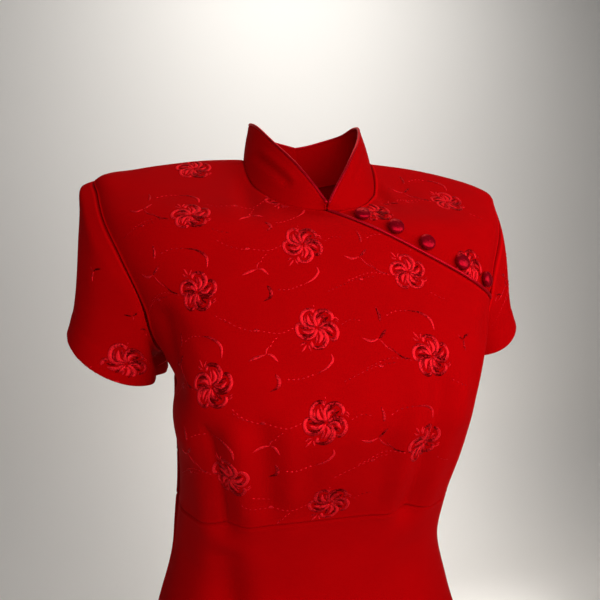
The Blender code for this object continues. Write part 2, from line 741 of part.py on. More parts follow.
def main():
    for old in list(bpy.data.objects):
        bpy.data.objects.remove(old, do_unlink=True)
    build_bodice_front()
    build_bodice_back()
    build_bodice_shoulder()
    build_skirt("skirt_front", True)
    build_skirt("skirt_back", False)
    for name in SLEEVE_HEMS:
        build_sleeve(name)
    build_collar()
    build_collar_piping()
    build_placket_piping()
    for number, share in enumerate(BUTTON_SHARES, start=1):
        build_button(number, share)


main()
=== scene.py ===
"""A worn cheongsam dress: its panels, collar, cords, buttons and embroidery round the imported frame.

Metres, +Z up, -Y the front, +X the wearer's left. The origin lies midway between the
points where the shoulder seams meet the collar.
"""

import logging
import math
from collections.abc import Callable, Iterable
from dataclasses import dataclass
from enum import Enum
from typing import NamedTuple

import bpy
import numpy as np
from mathutils import Matrix, Vector

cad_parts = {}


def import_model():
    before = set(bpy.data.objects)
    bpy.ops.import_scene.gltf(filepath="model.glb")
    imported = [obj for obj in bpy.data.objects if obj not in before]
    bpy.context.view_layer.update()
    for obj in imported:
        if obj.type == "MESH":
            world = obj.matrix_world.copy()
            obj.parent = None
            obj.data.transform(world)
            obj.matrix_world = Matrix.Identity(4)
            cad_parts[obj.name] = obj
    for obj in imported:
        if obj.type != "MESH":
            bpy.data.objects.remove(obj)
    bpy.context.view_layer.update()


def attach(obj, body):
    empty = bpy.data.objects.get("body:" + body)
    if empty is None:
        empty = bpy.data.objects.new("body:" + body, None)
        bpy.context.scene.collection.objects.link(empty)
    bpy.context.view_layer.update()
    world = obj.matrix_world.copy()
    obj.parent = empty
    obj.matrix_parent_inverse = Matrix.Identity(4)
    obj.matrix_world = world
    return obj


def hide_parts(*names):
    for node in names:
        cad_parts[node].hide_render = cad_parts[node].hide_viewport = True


LOG = logging.getLogger("dress")
BODY = "root"
TURN = 2 * math.pi
MM = 0.001
Array = np.ndarray
Object = bpy.types.Object
Point = tuple[float, float]
Spot = tuple[float, float, float]
Colour = tuple[float, float, float]
Edges = Callable[[int], tuple[Array, Array, Array, Array]]

# How the worn dress sits a little uneven on the wearer.
LEFT_SHOULDER_LIFT = 0.0048
RIGHT_SHOULDER_LIFT = 0.0013
LEFT_TIP_DROP = 0.0012
RIGHT_TIP_LIFT = 0.0024
RIGHT_UNDERARM_PULL = 0.0090
HIP_SWAY = 0.0088
LEFT_SIDE_DRAW = 0.0014
LEFT_HIP_DRAW = 0.0015


class Side(Enum):
    """The wearer's side, as the sign of X."""

    RIGHT = -1
    LEFT = 1


class Edge(Enum):
    """The four edges of a panel's grid of points."""

    TOP = 0
    BOTTOM = 1
    START = 2
    END = 3


# ---------------------------------------------------------------- curves and grids


def rise(values: Array, start: float, end: float) -> Array:
    """0 up to start, 1 from end on, and the soft step 3 s**2 - 2 s**3 between them."""
    share = np.clip((values - start) / (end - start), 0, 1)
    return share**2 * (3 - 2 * share)


def settled(points: Array) -> Array:
    """Points of the even form, moved to where the worn dress sits.

    The wearer's left shoulder and collar stand higher, the right shoulder tip is a little
    square, the right underarm is pulled in, the skirt sways to the right and the left side
    is drawn in. Each move fades to nothing by a soft step in x and in height.
    """
    x, y, z = np.moveaxis(np.asarray(points, float), -1, 0)
    out = rise(np.abs(x), 0.12, 0.19)
    tip = rise(np.abs(x), 0.172, 0.205)
    high = np.clip((z + 0.040 + 0.060 * out) / (0.036 + 0.034 * out), 0, 1)
    lift = rise(x, 0.0, 0.045) * (LEFT_SHOULDER_LIFT - LEFT_TIP_DROP * tip)
    lift = lift + rise(-x, 0.03, 0.08) * (RIGHT_SHOULDER_LIFT + RIGHT_TIP_LIFT * tip)
    hip = rise(z, -0.60, -0.44) * rise(-z, 0.27, 0.372)
    side = rise(z, -0.36, -0.28) * rise(-z, 0.16, 0.20)
    sway = -HIP_SWAY * hip * rise(-x, 0.01, 0.12)
    draw = -(LEFT_SIDE_DRAW * side + LEFT_HIP_DRAW * hip) * rise(x, 0.02, 0.12)
    low = rise(z, -0.245, -0.205) * rise(-z, 0.105, 0.155)
    pull = RIGHT_UNDERARM_PULL * low * rise(-x, 0.10, 0.15) * (1 - rise(-x, 0.165, 0.225))
    return np.stack([x + sway + draw + pull, y, z + lift * rise(high, 0.0, 1.0)], axis=-1)


def smooth(values: Array, place: Array) -> Array:
    """Reads a Catmull-Rom curve through rows of values, one row at each whole number.

    The curve between two rows is the cubic whose slope at each row is half the step
    from the row before to the row after.

    Args:
        values: Rows of numbers or points.
        place: Where to read, counted in rows.

    Returns:
        One row for each place.
    """
    values = np.asarray(values, float)
    first = np.clip(np.floor(place).astype(int), 0, len(values) - 2)
    part = (np.asarray(place, float) - first).reshape((-1,) + (1,) * (values.ndim - 1))
    lead, tail = 2 * values[:1] - values[1:2], 2 * values[-1:] - values[-2:-1]
    padded = np.concatenate([lead, values, tail])
    before, start, end, after = (padded[first + step] for step in range(4))
    bend = 2 * before - 5 * start + 4 * end - after
    twist = 3 * start - before - 3 * end + after
    return start + 0.5 * ((end - before) * part + bend * part**2 + twist * part**3)


def lengths(points: Array) -> Array:
    """The length along a curve, or down each column of a grid, up to each point."""
    steps = np.linalg.norm(np.diff(points, axis=0), axis=-1)
    return np.concatenate([0 * steps[:1], steps.cumsum(axis=0)])


def beside(across: Array, up: Array, start: Point, end: Point) -> tuple[Array, Array, float]:
    """How points of a plane lie beside a straight line.

    Args:
        across: The points' places across.
        up: The points' places up.
        start: The start of the line.
        end: The end of the line.

    Returns:
        The distance along the line from its start, the distance aside, and its length.
    """
    run = np.subtract(end, start)
    length = math.hypot(*run)
    along = ((across - start[0]) * run[0] + (up - start[1]) * run[1]) / length
    aside = ((across - start[0]) * run[1] - (up - start[1]) * run[0]) / length
    return along, aside, length


def hill(distance: Array, width: float) -> Array:
    """A bell curve: exp(-(distance / width) ** 2)."""
    return np.exp(-((distance / width) ** 2))


def even(curve: Array, steps: int) -> Array:
    """The same curve with evenly spaced points.

    Args:
        curve: Points along the curve.
        steps: How many equal steps to cut it into.

    Returns:
        steps + 1 points.
    """
    along = lengths(curve)
    wanted = np.linspace(0, along[-1], steps + 1)
    return np.stack([np.interp(wanted, along, axis) for axis in curve.T], axis=-1)


def unit(vectors: Array) -> Array:
    """Vectors scaled to length 1."""
    return vectors / np.maximum(np.linalg.norm(vectors, axis=-1, keepdims=True), 1e-12)


def joined(*curves: Array) -> Array:
    """Curves that meet end to end, as one."""
    return np.concatenate([curves[0]] + [curve[1:] for curve in curves[1:]])


def coons(top: Array, bottom: Array, start: Array, end: Array) -> Array:
    """Fills four edges that share their corners with a Coons patch.

    The patch is the sum of the two ruled surfaces between facing edges, less the flat
    patch through the four corners.

    Args:
        top: Points of the first row.
        bottom: Points of the last row.
        start: Points of the first column.
        end: Points of the last column.

    Returns:
        A grid of points, rows by columns.
    """
    across = np.linspace(0, 1, len(top))[None, :, None]
    down = np.linspace(0, 1, len(start))[:, None, None]
    rows = (1 - down) * top[None] + down * bottom[None]
    columns = (1 - across) * start[:, None] + across * end[:, None]
    flat = (1 - down) * ((1 - across) * top[0] + across * top[-1])
    return rows + columns - flat - down * ((1 - across) * bottom[0] + across * bottom[-1])


def grid_normals(grid: Array, closed: bool = False) -> Array:
    """Unit normals of a grid: the cross product of its slopes down and across.

    Args:
        grid: Points, rows by columns.
        closed: Whether the columns run round a tube.

    Returns:
        One unit vector for each point.
    """
    if closed:
        across = np.roll(grid, -1, axis=1) - np.roll(grid, 1, axis=1)
    else:
        across = np.gradient(grid, axis=1)
    return unit(np.cross(np.gradient(grid, axis=0), across))


def with_close_rows(last: int, near: tuple[float, ...]) -> Array:
    """The whole numbers up to last, with places near to both ends added."""
    close = np.array(near)
    return np.unique(np.concatenate([np.arange(last + 1), close, last - close]))


def close_edges(grid: Array, near: tuple[float, ...] = (0.15, 0.35, 0.58, 0.80, 1.35)) -> Array:
    """Adds rows and columns close to the edges, so that an edge can roll in tightly."""
    for axis in (0, 1):
        last = grid.shape[axis] - 1
        place = with_close_rows(last, near)
        first = np.minimum(place.astype(int), last - 1)
        shape = [1, 1, 1]
        shape[axis] = -1
        part = (place - first).reshape(shape)
        grid = np.take(grid, first, axis) * (1 - part) + np.take(grid, first + 1, axis) * part
    return grid


# ---------------------------------------------------------------- the worn form


@dataclass(frozen=True)
class Level:
    """One level ring of the form: a superellipse with its own front and back."""

    name: str
    height: float
    half_width: float
    side: float
    front: float
    back: float
    front_power: float
    back_power: float


LEVELS = (
    Level("neck point", 0.000, 0.0676, 0.000, -0.002, 0.005, 3.0, 3.0),
    Level("inner shoulder", -0.005, 0.1200, 0.001, -0.010, 0.024, 4.0, 3.6),
    Level("outer shoulder", -0.015, 0.1690, 0.002, -0.020, 0.044, 4.5, 4.0),
    Level("shoulder tip", -0.029, 0.2070, 0.002, -0.035, 0.058, 4.5, 4.0),
    Level("collar pit", -0.048, 0.2070, -0.001, -0.059, 0.070, 4.0, 3.6),
    Level("upper chest", -0.076, 0.2000, -0.008, -0.096, 0.078, 3.3, 3.2),
    Level("mid armhole", -0.114, 0.1860, -0.013, -0.116, 0.082, 3.0, 3.0),
    Level("lower armhole", -0.155, 0.1720, -0.016, -0.134, 0.082, 3.1, 2.8),
    Level("underarm", -0.195, 0.1550, -0.018, -0.152, 0.080, 3.4, 2.7),
    Level("bust", -0.235, 0.1390, -0.021, -0.159, 0.076, 3.5, 2.6),
    Level("under bust", -0.283, 0.1355, -0.024, -0.141, 0.069, 3.2, 2.5),
    Level("waist seam", -0.332, 0.1310, -0.025, -0.119, 0.064, 2.8, 2.4),
    Level("belly", -0.385, 0.1325, -0.021, -0.109, 0.082, 2.2, 2.3),
    Level("upper hip", -0.440, 0.1465, -0.016, -0.114, 0.099, 2.1, 2.3),
    Level("hip", -0.500, 0.1630, -0.012, -0.120, 0.109, 2.2, 2.3),
    Level("full hip", -0.570, 0.1700, -0.010, -0.125, 0.112, 2.2, 2.3),
    Level("thigh", -0.660, 0.1710, -0.010, -0.124, 0.109, 2.2, 2.3),
    Level("lower thigh", -0.760, 0.1680, -0.010, -0.120, 0.103, 2.2, 2.3),
    Level("above knee", -0.860, 0.1650, -0.010, -0.117, 0.098, 2.2, 2.3),
    Level("hem", -0.960, 0.1630, -0.010, -0.115, 0.095, 2.2, 2.3),
)
RING = ("half_width", "side", "front", "back", "front_power", "back_power")


class Form:
    """The form that the dress is worn on, read from its level rings at any height."""

    core_top: float = -0.090
    core_margin: float = 0.080
    farthest: float = 3.0

    def __init__(self, levels: tuple[Level, ...], samples: int = 160) -> None:
        """Tabulates the rings closely.

        Args:
            levels: The rings, from the neck down.
            samples: Table rows to a level.
        """
        self.place = np.linspace(0, len(levels) - 1, samples * len(levels))
        self.table = {
            key: smooth([getattr(level, key) for level in levels], self.place)
            for key in ("height", *RING)
        }

    def place_of(self, height: Array | float) -> Array:
        """The place at a height, counted in levels."""
        return np.interp(-np.asarray(height, float), -self.table["height"], self.place)

    def ring(self, height: Array) -> list[Array]:
        """Half width, side line, front, back and both powers at a height."""
        down = -np.asarray(height, float)
        return [np.interp(down, -self.table["height"], self.table[key]) for key in RING]

    def half_ring(self, ring: list[Array], ahead: Array | bool) -> tuple[Array, Array, Array, Array]:
        """Half width, side line, and the signed depth and power of a ring's front or back."""
        half, side, front, back, front_power, back_power = ring
        depth = np.where(ahead, front, back) - side
        return half, side, depth, np.where(ahead, front_power, back_power)

    def around(self, turn: Array, place: Array) -> Array:
        """Points round a level ring.

        Each lies at the angle turn from +X through the back, as far out as the
        superellipse (|x| / half width) ** power + (|y - side| / depth) ** power = 1.

        Args:
            turn: Angle, 90 degrees at the back and 270 at the front.
            place: The level, which may be a fraction.

        Returns:
            Points on the form.
        """
        height, *ring = (np.interp(place, self.place, self.table[key]) for key in ("height", *RING))
        half, side, depth, power = self.half_ring(ring, np.sin(turn) < 0)
        far = (np.abs(np.cos(turn)) ** power + np.abs(np.sin(turn)) ** power) ** (1 / power)
        x = half * np.cos(turn) / far
        return np.stack([x, side + np.abs(depth) * np.sin(turn) / far, height + 0 * x], axis=-1)

    def at_height(self, x: Array, height: Array, ahead: bool) -> Array:
        """The point of the form at x and a height, in front or behind."""
        half, side, depth, power = self.half_ring(self.ring(height), ahead)
        across = np.clip(np.abs(x) / half, 0, 1)
        y = side + depth * (1 - across**power) ** (1 / power)
        return np.stack([x, y, height + 0 * y], axis=-1)

    def at_side(self, side_of: Side, y: Array, height: Array, ahead: bool) -> Array:
        """The point of the form at y and a height, on one side."""
        half, side, depth, power = self.half_ring(self.ring(height), ahead)
        share = np.clip((y - side) / depth, 0, 1)
        x = side_of.value * half * (1 - share**power) ** (1 / power)
        return np.stack([x, y, height + 0 * x], axis=-1)

    def outside(self, points: Array) -> Array:
        """A number above 0 outside the form and below 0 inside it."""
        x, y, z = np.moveaxis(points, -1, 0)
        ring = self.ring(np.minimum(z, 0))
        half, side, depth, power = self.half_ring(ring, y < ring[1])
        value = (np.abs(x) / half) ** power + np.abs((y - side) / depth) ** power - 1
        return np.where(z > 0, 1 + z, value)

    def is_ahead(self, points: Array) -> Array:
        """Whether points lie in front of the side line."""
        return points[..., 1] < self.ring(np.minimum(points[..., 2], 0))[1]

    def onto(self, points: Array, halvings: int = 40) -> Array:
        """Moves points onto the form, along the line from an inner core.

        The crossing is found by halving the span between the core and three times the
        point's distance from it.

        Args:
            points: Points near the form.
            halvings: How often the span is halved.

        Returns:
            Points on the form.
        """
        x, _, z = np.moveaxis(points, -1, 0)
        core_z = np.minimum(z, self.core_top)
        half, side = self.ring(core_z)[:2]
        reach = half - self.core_margin
        core = np.stack([np.clip(x, -reach, reach), side, core_z], axis=-1)
        away = points - core
        low, high = np.zeros(x.shape), np.full(x.shape, self.farthest)
        for _ in range(halvings):
            middle = (low + high) / 2
            beyond = self.outside(core + middle[..., None] * away) > 0
            high, low = np.where(beyond, middle, high), np.where(beyond, low, middle)
        return core + low[..., None] * away

    def normals(self, points: Array, step: float = 4e-4) -> Array:
        """Outward unit normals, from the slope of outside along each axis."""
        low = points.copy()
        low[..., 2] = np.minimum(low[..., 2], -step)
        moves = step * np.eye(3)
        slope = [self.outside(low + move) - self.outside(low - move) for move in moves]
        return unit(np.stack(slope, axis=-1))


# ---------------------------------------------------------------- seams and edges


WAIST_HEIGHT = -0.332
WAIST_FRONT_RISE = 0.009
UNDERARM_HEIGHT = -0.192
TIP_HEIGHT = -0.029
VENT_HEIGHT = -0.800
CURVE_STEPS = 8
SHOULDER_STEPS = 6
ARMHOLE_STEPS = 14
OPENING_STEP = 9
SIDE_STEPS = 7
NECK_STEPS = 10
PLACKET_STEPS = 16
TUCK_STEPS = 64
PLACKET = ((0.000, -0.062), (0.040, -0.081), (0.080, -0.102), (0.120, -0.122), (0.148, -0.136))


@dataclass
class Seams:
    """The curves that the panels of the dress are sewn and cut along.

    Each curve takes a number of steps, and a multiple of it gives the same curve with
    points between the old ones.
    """

    form: Form
    neck_half_width: float = 0.0676
    front_drop: float = 0.062
    back_drop: float = 0.015
    front_power: float = 2.35
    back_power: float = 2.2
    armhole_depth: float = 0.057
    armhole_scoop: float = 0.25
    vent_spread: float = 0.008

    def __post_init__(self) -> None:
        """Reads the places of the main levels."""
        self.waist = float(self.form.place_of(WAIST_HEIGHT))
        self.tip = float(self.form.place_of(TIP_HEIGHT))
        self.underarm = float(self.form.place_of(UNDERARM_HEIGHT))
        self.hem = len(LEVELS) - 1

    def side(self, side: Side, top: float, bottom: float, steps: int) -> Array:
        """The shoulder seam or the side seam between two places."""
        places = np.linspace(top, bottom, CURVE_STEPS * steps + 1)
        turn = math.pi if side is Side.RIGHT else 0.0
        return even(self.form.around(np.full(len(places), turn), places), steps)

    def neckline(self, side: Side, ahead: bool, steps: int) -> Array:
        """The neckline on one side, from the shoulder seam to the centre."""
        angle = np.linspace(0, math.pi / 2, CURVE_STEPS * steps + 1)
        power = self.front_power if ahead else self.back_power
        drop = self.front_drop if ahead else self.back_drop
        x = side.value * self.neck_half_width * np.clip(np.cos(angle), 0, 1) ** (2 / power)
        line = self.form.at_height(x, -drop * np.sin(angle) ** (2 / power), ahead)
        line[0] = side.value * self.neck_half_width, 0, 0
        return even(line, steps)

    def armhole(self, side: Side, ahead: bool, steps: int) -> Array:
        """Half of an armhole, from the shoulder tip to the underarm point."""
        angle = np.linspace(0, math.pi, steps + 1)
        middle = (TIP_HEIGHT + UNDERARM_HEIGHT) / 2
        height = middle + (TIP_HEIGHT - middle) * np.cos(angle)
        reach = self.armhole_depth * np.sin(angle) * (1 - self.armhole_scoop * np.cos(angle))
        y = self.form.ring(height)[1] + (-reach if ahead else reach)
        return self.form.at_side(side, y, height, ahead)

    def placket(self, steps: int) -> Array:
        """The edge of the front over the diagonal opening, from the pit to the left armhole."""
        fine = CURVE_STEPS * ARMHOLE_STEPS
        end = self.armhole(Side.LEFT, True, fine)[CURVE_STEPS * OPENING_STEP]
        along = np.linspace(0, len(PLACKET), CURVE_STEPS * steps + 1)
        route = smooth([*PLACKET, (end[0], end[2])], along)
        line = self.form.at_height(route[:, 0], route[:, 1], True)
        line[-1] = end
        return even(line, steps)

    def waist_place(self, turn: Array) -> Array:
        """The place of the waist seam, which rises a little towards the centre front."""
        raised = WAIST_FRONT_RISE * np.maximum(-np.sin(turn), 0) ** 2
        return self.form.place_of(WAIST_HEIGHT + raised)

    def waist_line(self, ahead: bool, steps: int) -> Array:
        """The waist seam from the wearer's right to the left."""
        turns = np.linspace(math.pi, TURN if ahead else 0, CURVE_STEPS * steps + 1)
        return even(self.form.around(turns, self.waist_place(turns)), steps)

    def side_seam(self, side: Side, k: int) -> Array:
        """The bodice's side seam, from the underarm point to the waist seam."""
        return self.side(side, self.underarm, self.waist, SIDE_STEPS * k)

    def whole_side(self, side: Side, ahead: bool, k: int) -> Array:
        """A bodice panel's side: shoulder seam, armhole and side seam."""
        shoulder = self.side(side, 0, self.tip, SHOULDER_STEPS * k)
        return joined(shoulder, self.armhole(side, ahead, ARMHOLE_STEPS * k), self.side_seam(side, k))


# ---------------------------------------------------------------- creases


@dataclass(frozen=True)
class Crease:
    """A soft trough in the cloth along a line (x, z), with a low bank on each side.

    A narrow one with a short fade is a sewn dart.
    """

    name: str
    ahead: bool
    line: tuple[Point, Point]
    width: float
    depth: float
    ridge: float = 0.0
    fade: float = 0.018


CREASES = (
    Crease("drag under right arm", True, ((-0.143, -0.150), (-0.118, -0.200)), 0.010, 0.0030),
    Crease("right waist dart", True, ((-0.110, -0.230), (-0.086, -0.345)), 0.010, 0.0052, 0.3),
    Crease("right flank", True, ((-0.128, -0.250), (-0.114, -0.400)), 0.016, 0.0042, 0.3, 0.03),
    Crease("right dart seam", True, ((-0.111, -0.232), (-0.090, -0.330)), 0.0022, 0.0015, 0.3, 0.008),
    Crease("below right bust", True, ((-0.072, -0.222), (-0.056, -0.320)), 0.010, 0.0034, 0.35),
    Crease("right of the middle", True, ((-0.034, -0.250), (-0.030, -0.325)), 0.010, 0.0012, 0.4),
    Crease("left of the middle", True, ((0.026, -0.235), (0.032, -0.320)), 0.011, 0.0013, 0.4),
    Crease("left waist dart", True, ((0.077, -0.196), (0.060, -0.340)), 0.011, 0.0058, 0.3),
    Crease("left dart seam", True, ((0.074, -0.222), (0.062, -0.325)), 0.0022, 0.0011, 0.3, 0.008),
    Crease("beside right sleeve", True, ((-0.158, -0.140), (-0.136, -0.230)), 0.011, 0.0065, 0.2),
    Crease("across right breast", True, ((-0.140, -0.160), (-0.098, -0.176)), 0.007, 0.0012, 0.3),
    Crease("below right neck point", True, ((-0.071, -0.018), (-0.068, -0.078)), 0.009, 0.0032, 0.2),
    Crease("below left neck point", True, ((0.057, -0.020), (0.072, -0.058)), 0.007, 0.0036, 0.3),
    Crease("left of the neck point", True, ((0.092, -0.022), (0.098, -0.058)), 0.009, 0.0018, 0.3),
    Crease("beside left sleeve", True, ((0.146, -0.150), (0.128, -0.190)), 0.008, 0.0020, 0.3),
    Crease("below left bust", True, ((0.096, -0.240), (0.092, -0.310)), 0.013, 0.0018),
    Crease("drag under left arm", True, ((0.124, -0.185), (0.106, -0.238)), 0.011, 0.0022),
    Crease("skirt front right", True, ((-0.088, -0.345), (-0.082, -0.450)), 0.012, 0.0052, 0.3),
    Crease("skirt front left", True, ((0.070, -0.350), (0.074, -0.430)), 0.014, 0.0022),
    Crease("back right dart", False, ((-0.074, -0.225), (-0.070, -0.425)), 0.012, 0.0025),
    Crease("back left dart", False, ((0.074, -0.220), (0.070, -0.430)), 0.012, 0.0025),
    Crease("back drag right", False, ((-0.118, -0.175), (-0.092, -0.235)), 0.012, 0.0022),
    Crease("back drag left", False, ((0.120, -0.180), (0.096, -0.230)), 0.012, 0.0020),
)


class Cloth:
    """The worn surface of the dress: the form, sunk where the creases run."""

    def __init__(self, form: Form, creases: tuple[Crease, ...]) -> None:
        """Keeps the form and its creases."""
        self.form = form
        self.creases = creases

    def sink(self, points: Array) -> Array:
        """How far each point of the form sinks: the sum of the creases' troughs.

        Across a crease the trough is a bell curve with a lower bank on each side, and
        towards each end of the line it fades over the crease's own length of fade.
        """
        ahead = self.form.is_ahead(points)
        total = np.zeros(points.shape[:-1])
        for crease in self.creases:
            along, aside, length = beside(points[..., 0], points[..., 2], *crease.line)
            beyond = np.maximum(np.abs(along - length / 2) - length / 2 + crease.fade, 0)
            faded = np.exp(-2 * (beyond / crease.fade) ** 2)
            bank = hill(np.abs(aside) - 2 * crease.width, crease.width)
            depth = crease.depth * faded * (hill(aside, crease.width) - crease.ridge * bank)
            total += np.where(ahead == crease.ahead, depth, 0)
        return total

    def worn(self, points: Array) -> Array:
        """Points of the form, moved onto the worn surface."""
        return points - self.sink(points)[..., None] * self.form.normals(points)


# ---------------------------------------------------------------- meshes


CORD_SIDES = 12
CORD_TIP = 0.5
CORD_END_WIDTH = 0.05
# Marks for cloth with no painted seam shade or painted highlight.
UNSEWN = (1.0, 0.0)


def cell_faces(rows: Array, columns: int, closed: bool) -> Array:
    """The four-cornered faces between rows of a grid and the row after each.

    Args:
        rows: The numbers of the rows, as whole numbers.
        columns: Points in a row.
        closed: Whether the last column meets the first.

    Returns:
        Point numbers, four to a face.
    """
    here = rows[:, None] * columns
    column = np.arange(columns if closed else columns - 1)[None]
    after = (column + 1) % columns
    four = here + column, here + columns + column, here + columns + after, here + after
    return np.stack(np.broadcast_arrays(*four), axis=-1).reshape(-1, 4)


def make_mesh(name: str, points: Array, faces: Array, marks: Array | None = None) -> Object:
    """Makes a smooth mesh object, settled as the worn dress is.

    Args:
        name: The object's name.
        points: Corner points.
        faces: Point numbers, four to a face.
        marks: Two numbers for each point, kept in a UV map for the finish to read.

    Returns:
        The new object, in the scene.
    """
    points = settled(points)
    mesh = bpy.data.meshes.new(name)
    mesh.vertices.add(len(points))
    mesh.vertices.foreach_set("co", np.asarray(points, np.float32).ravel())
    mesh.loops.add(faces.size)
    mesh.loops.foreach_set("vertex_index", faces.astype(np.int32).ravel())
    mesh.polygons.add(len(faces))
    mesh.polygons.foreach_set("loop_start", np.arange(0, faces.size, 4, dtype=np.int32))
    mesh.polygons.foreach_set("use_smooth", np.ones(len(faces), dtype=bool))
    if marks is not None:
        layer = mesh.uv_layers.new(name="marks")
        layer.data.foreach_set("uv", np.asarray(marks, np.float32)[faces.ravel()].ravel())
    mesh.update(calc_edges=True)
    mesh.validate()
    made = bpy.data.objects.new(name, mesh)
    bpy.context.scene.collection.objects.link(made)
    return made


def edge_distances(grid: Array) -> dict[Edge, Array]:
    """For each edge of a grid, every point's distance from it along the grid's lines."""
    down = lengths(grid)
    across = lengths(grid.swapaxes(0, 1)).T
    return {
        Edge.TOP: down,
        Edge.BOTTOM: down[-1:] - down,
        Edge.START: across,
        Edge.END: across[:, -1:] - across,
    }


def painted_seam_light_marks(grid: Array, strengths: dict[Edge, float]) -> Array:
    """For each point, its distance from the nearest sewn edge and how strongly that seam's painted shade
    and painted highlight show.
    """
    distances = edge_distances(grid)
    gaps = np.stack([distances[edge] for edge in strengths])
    strength = np.array(list(strengths.values()))[np.argmin(gaps, axis=0)]
    return np.stack([np.min(gaps, axis=0), strength], axis=-1)


def make_shell(
    name: str,
    outer: Array,
    normals: Array,
    thick: float,
    marks: Array | None = None,
    closed: bool = False,
) -> Object:
    """Makes a closed thin shell of cloth between a grid and the same grid moved inward.

    Args:
        name: The object's name.
        outer: The outer grid of points, rows running down and columns to +X in front.
        normals: Outward unit normals of the grid.
        thick: The cloth's thickness.
        marks: Distance from a seam and how strongly its painted shade and painted highlight show, or
            nothing where none is painted.
        closed: Whether the columns run round a tube.

    Returns:
        The new object.
    """
    rows, columns = outer.shape[:2]
    half = rows * columns
    cells = cell_faces(np.arange(rows - 1), columns, closed)
    faces = [cells, (cells + half)[:, ::-1]]
    number = np.arange(half).reshape(rows, columns)
    if closed:
        number = np.concatenate([number, number[:, :1]], axis=1)
        edges = [number[0, ::-1], number[-1]]
    else:
        edges = [joined(number[:, 0], number[-1], number[::-1, -1], number[0, ::-1])]
    for edge in edges:
        near, far = edge[:-1], edge[1:]
        faces.append(np.stack([near, near + half, far + half, far], axis=-1))
    points = np.stack([outer, outer - thick * normals]).reshape(-1, 3)
    marks = np.tile(UNSEWN, (half, 1)) if marks is None else marks.reshape(-1, 2)
    whole = np.concatenate(faces)
    facing_out = np.sum(grid_normals(outer, closed) * normals) > 0
    return make_mesh(name, points, whole if facing_out else whole[:, ::-1], np.tile(marks, (2, 1)))


def make_capped(name: str, grid: Array, tips: Array, flip: bool) -> Object:
    """Makes a tube of rings that is closed to a tip at each end.

    Args:
        name: The object's name.
        grid: Points, one ring to a row.
        tips: The tip before the first ring and the tip after the last.
        flip: Whether the rings run the other way round.

    Returns:
        The new object.
    """
    rows, sides = grid.shape[:2]
    number = np.arange(rows * sides).reshape(rows, sides)
    faces = [cell_faces(np.arange(rows - 1), sides, True)]
    for ring, tip, turned in ((number[0], rows * sides, flip), (number[-1], rows * sides + 1, not flip)):
        fan = np.stack([np.full_like(ring, tip), ring, np.roll(ring, -1), np.roll(ring, -2)], axis=-1)
        faces.append(fan[::2, ::-1] if turned else fan[::2])
    points = np.concatenate([grid.reshape(-1, 3), tips])
    return outward(make_mesh(name, points, np.concatenate(faces)))


def make_cord(name: str, path: Array, radius: float, upright: Array) -> Object:
    """Makes a round cord along a path, closed at both ends by rounding off.

    Args:
        name: The object's name.
        path: Points along the middle of the cord.
        radius: The cord's radius.
        upright: For each point a direction that is not along the path.

    Returns:
        The new object.
    """
    ahead = unit(np.gradient(path, axis=0))
    side = unit(np.cross(ahead, upright))
    up = np.cross(side, ahead)
    turn = np.linspace(0, TURN, CORD_SIDES, endpoint=False)
    ring = np.cos(turn)[None, :, None] * side[:, None] + np.sin(turn)[None, :, None] * up[:, None]
    grid = path[:, None] + radius * ring
    reach = radius * CORD_TIP
    tips = np.stack([path[0] - reach * ahead[0], path[-1] + reach * ahead[-1]])
    ends = [np.tile(tip, (1, CORD_SIDES, 1)) for tip in tips]
    grid = np.concatenate([ends[0], grid, ends[1]])
    grid[0] += CORD_END_WIDTH * (grid[1] - grid[0])
    grid[-1] += CORD_END_WIDTH * (grid[-2] - grid[-1])
    return make_capped(name, grid, tips, False)


def outward(made: Object) -> Object:
    """Turns a closed mesh's faces outward, all together."""
    mesh = made.data
    points = np.empty(len(mesh.vertices) * 3, np.float32)
    mesh.vertices.foreach_get("co", points)
    points = points.reshape(-1, 3).astype(float)
    loops = np.empty(len(mesh.loops), np.int32)
    mesh.loops.foreach_get("vertex_index", loops)
    quads = points[loops.reshape(-1, 4)] - points.mean(0)
    halves = np.concatenate([quads[:, [0, 1, 2]], quads[:, [0, 2, 3]]])
    if np.linalg.det(halves).sum() < 0:
        mesh.flip_normals()
    return made


# ---------------------------------------------------------------- finishes


class Wire:
    """A value in a shader that is added, scaled and compared like a number."""

    def __init__(self, tree: bpy.types.NodeTree, socket: bpy.types.NodeSocket) -> None:
        """Keeps the socket that gives the value."""
        self.tree = tree
        self.socket = socket

    def apply(self, operation: str, *others: "Wire | float", swap: bool = False) -> "Wire":
        """Runs a Math node, or a Vector Math node where this value is a vector.

        Args:
            operation: The node's operation.
            others: The other values.
            swap: Whether this value comes second.

        Returns:
            The result.
        """
        vector = self.socket.type == "VECTOR"
        node = self.tree.nodes.new("ShaderNodeVectorMath" if vector else "ShaderNodeMath")
        node.operation = operation
        values = [self, *others]
        if swap:
            values.reverse()
        for place, value in zip(node.inputs, values):
            if isinstance(value, Wire):
                self.tree.links.new(value.socket, place)
            elif vector and place.type == "VECTOR":
                place.default_value = value if hasattr(value, "__len__") else (value,) * 3
            else:
                place.default_value = value
        return Wire(self.tree, node.outputs[0])

    def __add__(self, other: "Wire | float") -> "Wire":
        """The sum."""
        return self.apply("ADD", other)

    def __sub__(self, other: "Wire | float") -> "Wire":
        """The difference."""
        return self.apply("SUBTRACT", other)

    def __mul__(self, other: "Wire | float") -> "Wire":
        """The product."""
        return self.apply("MULTIPLY", other)

    def __rsub__(self, other: float) -> "Wire":
        """A number less this value."""
        return self.apply("SUBTRACT", other, swap=True)

    __radd__ = __add__
    __rmul__ = __mul__


Value = Wire | float | tuple[float, ...]


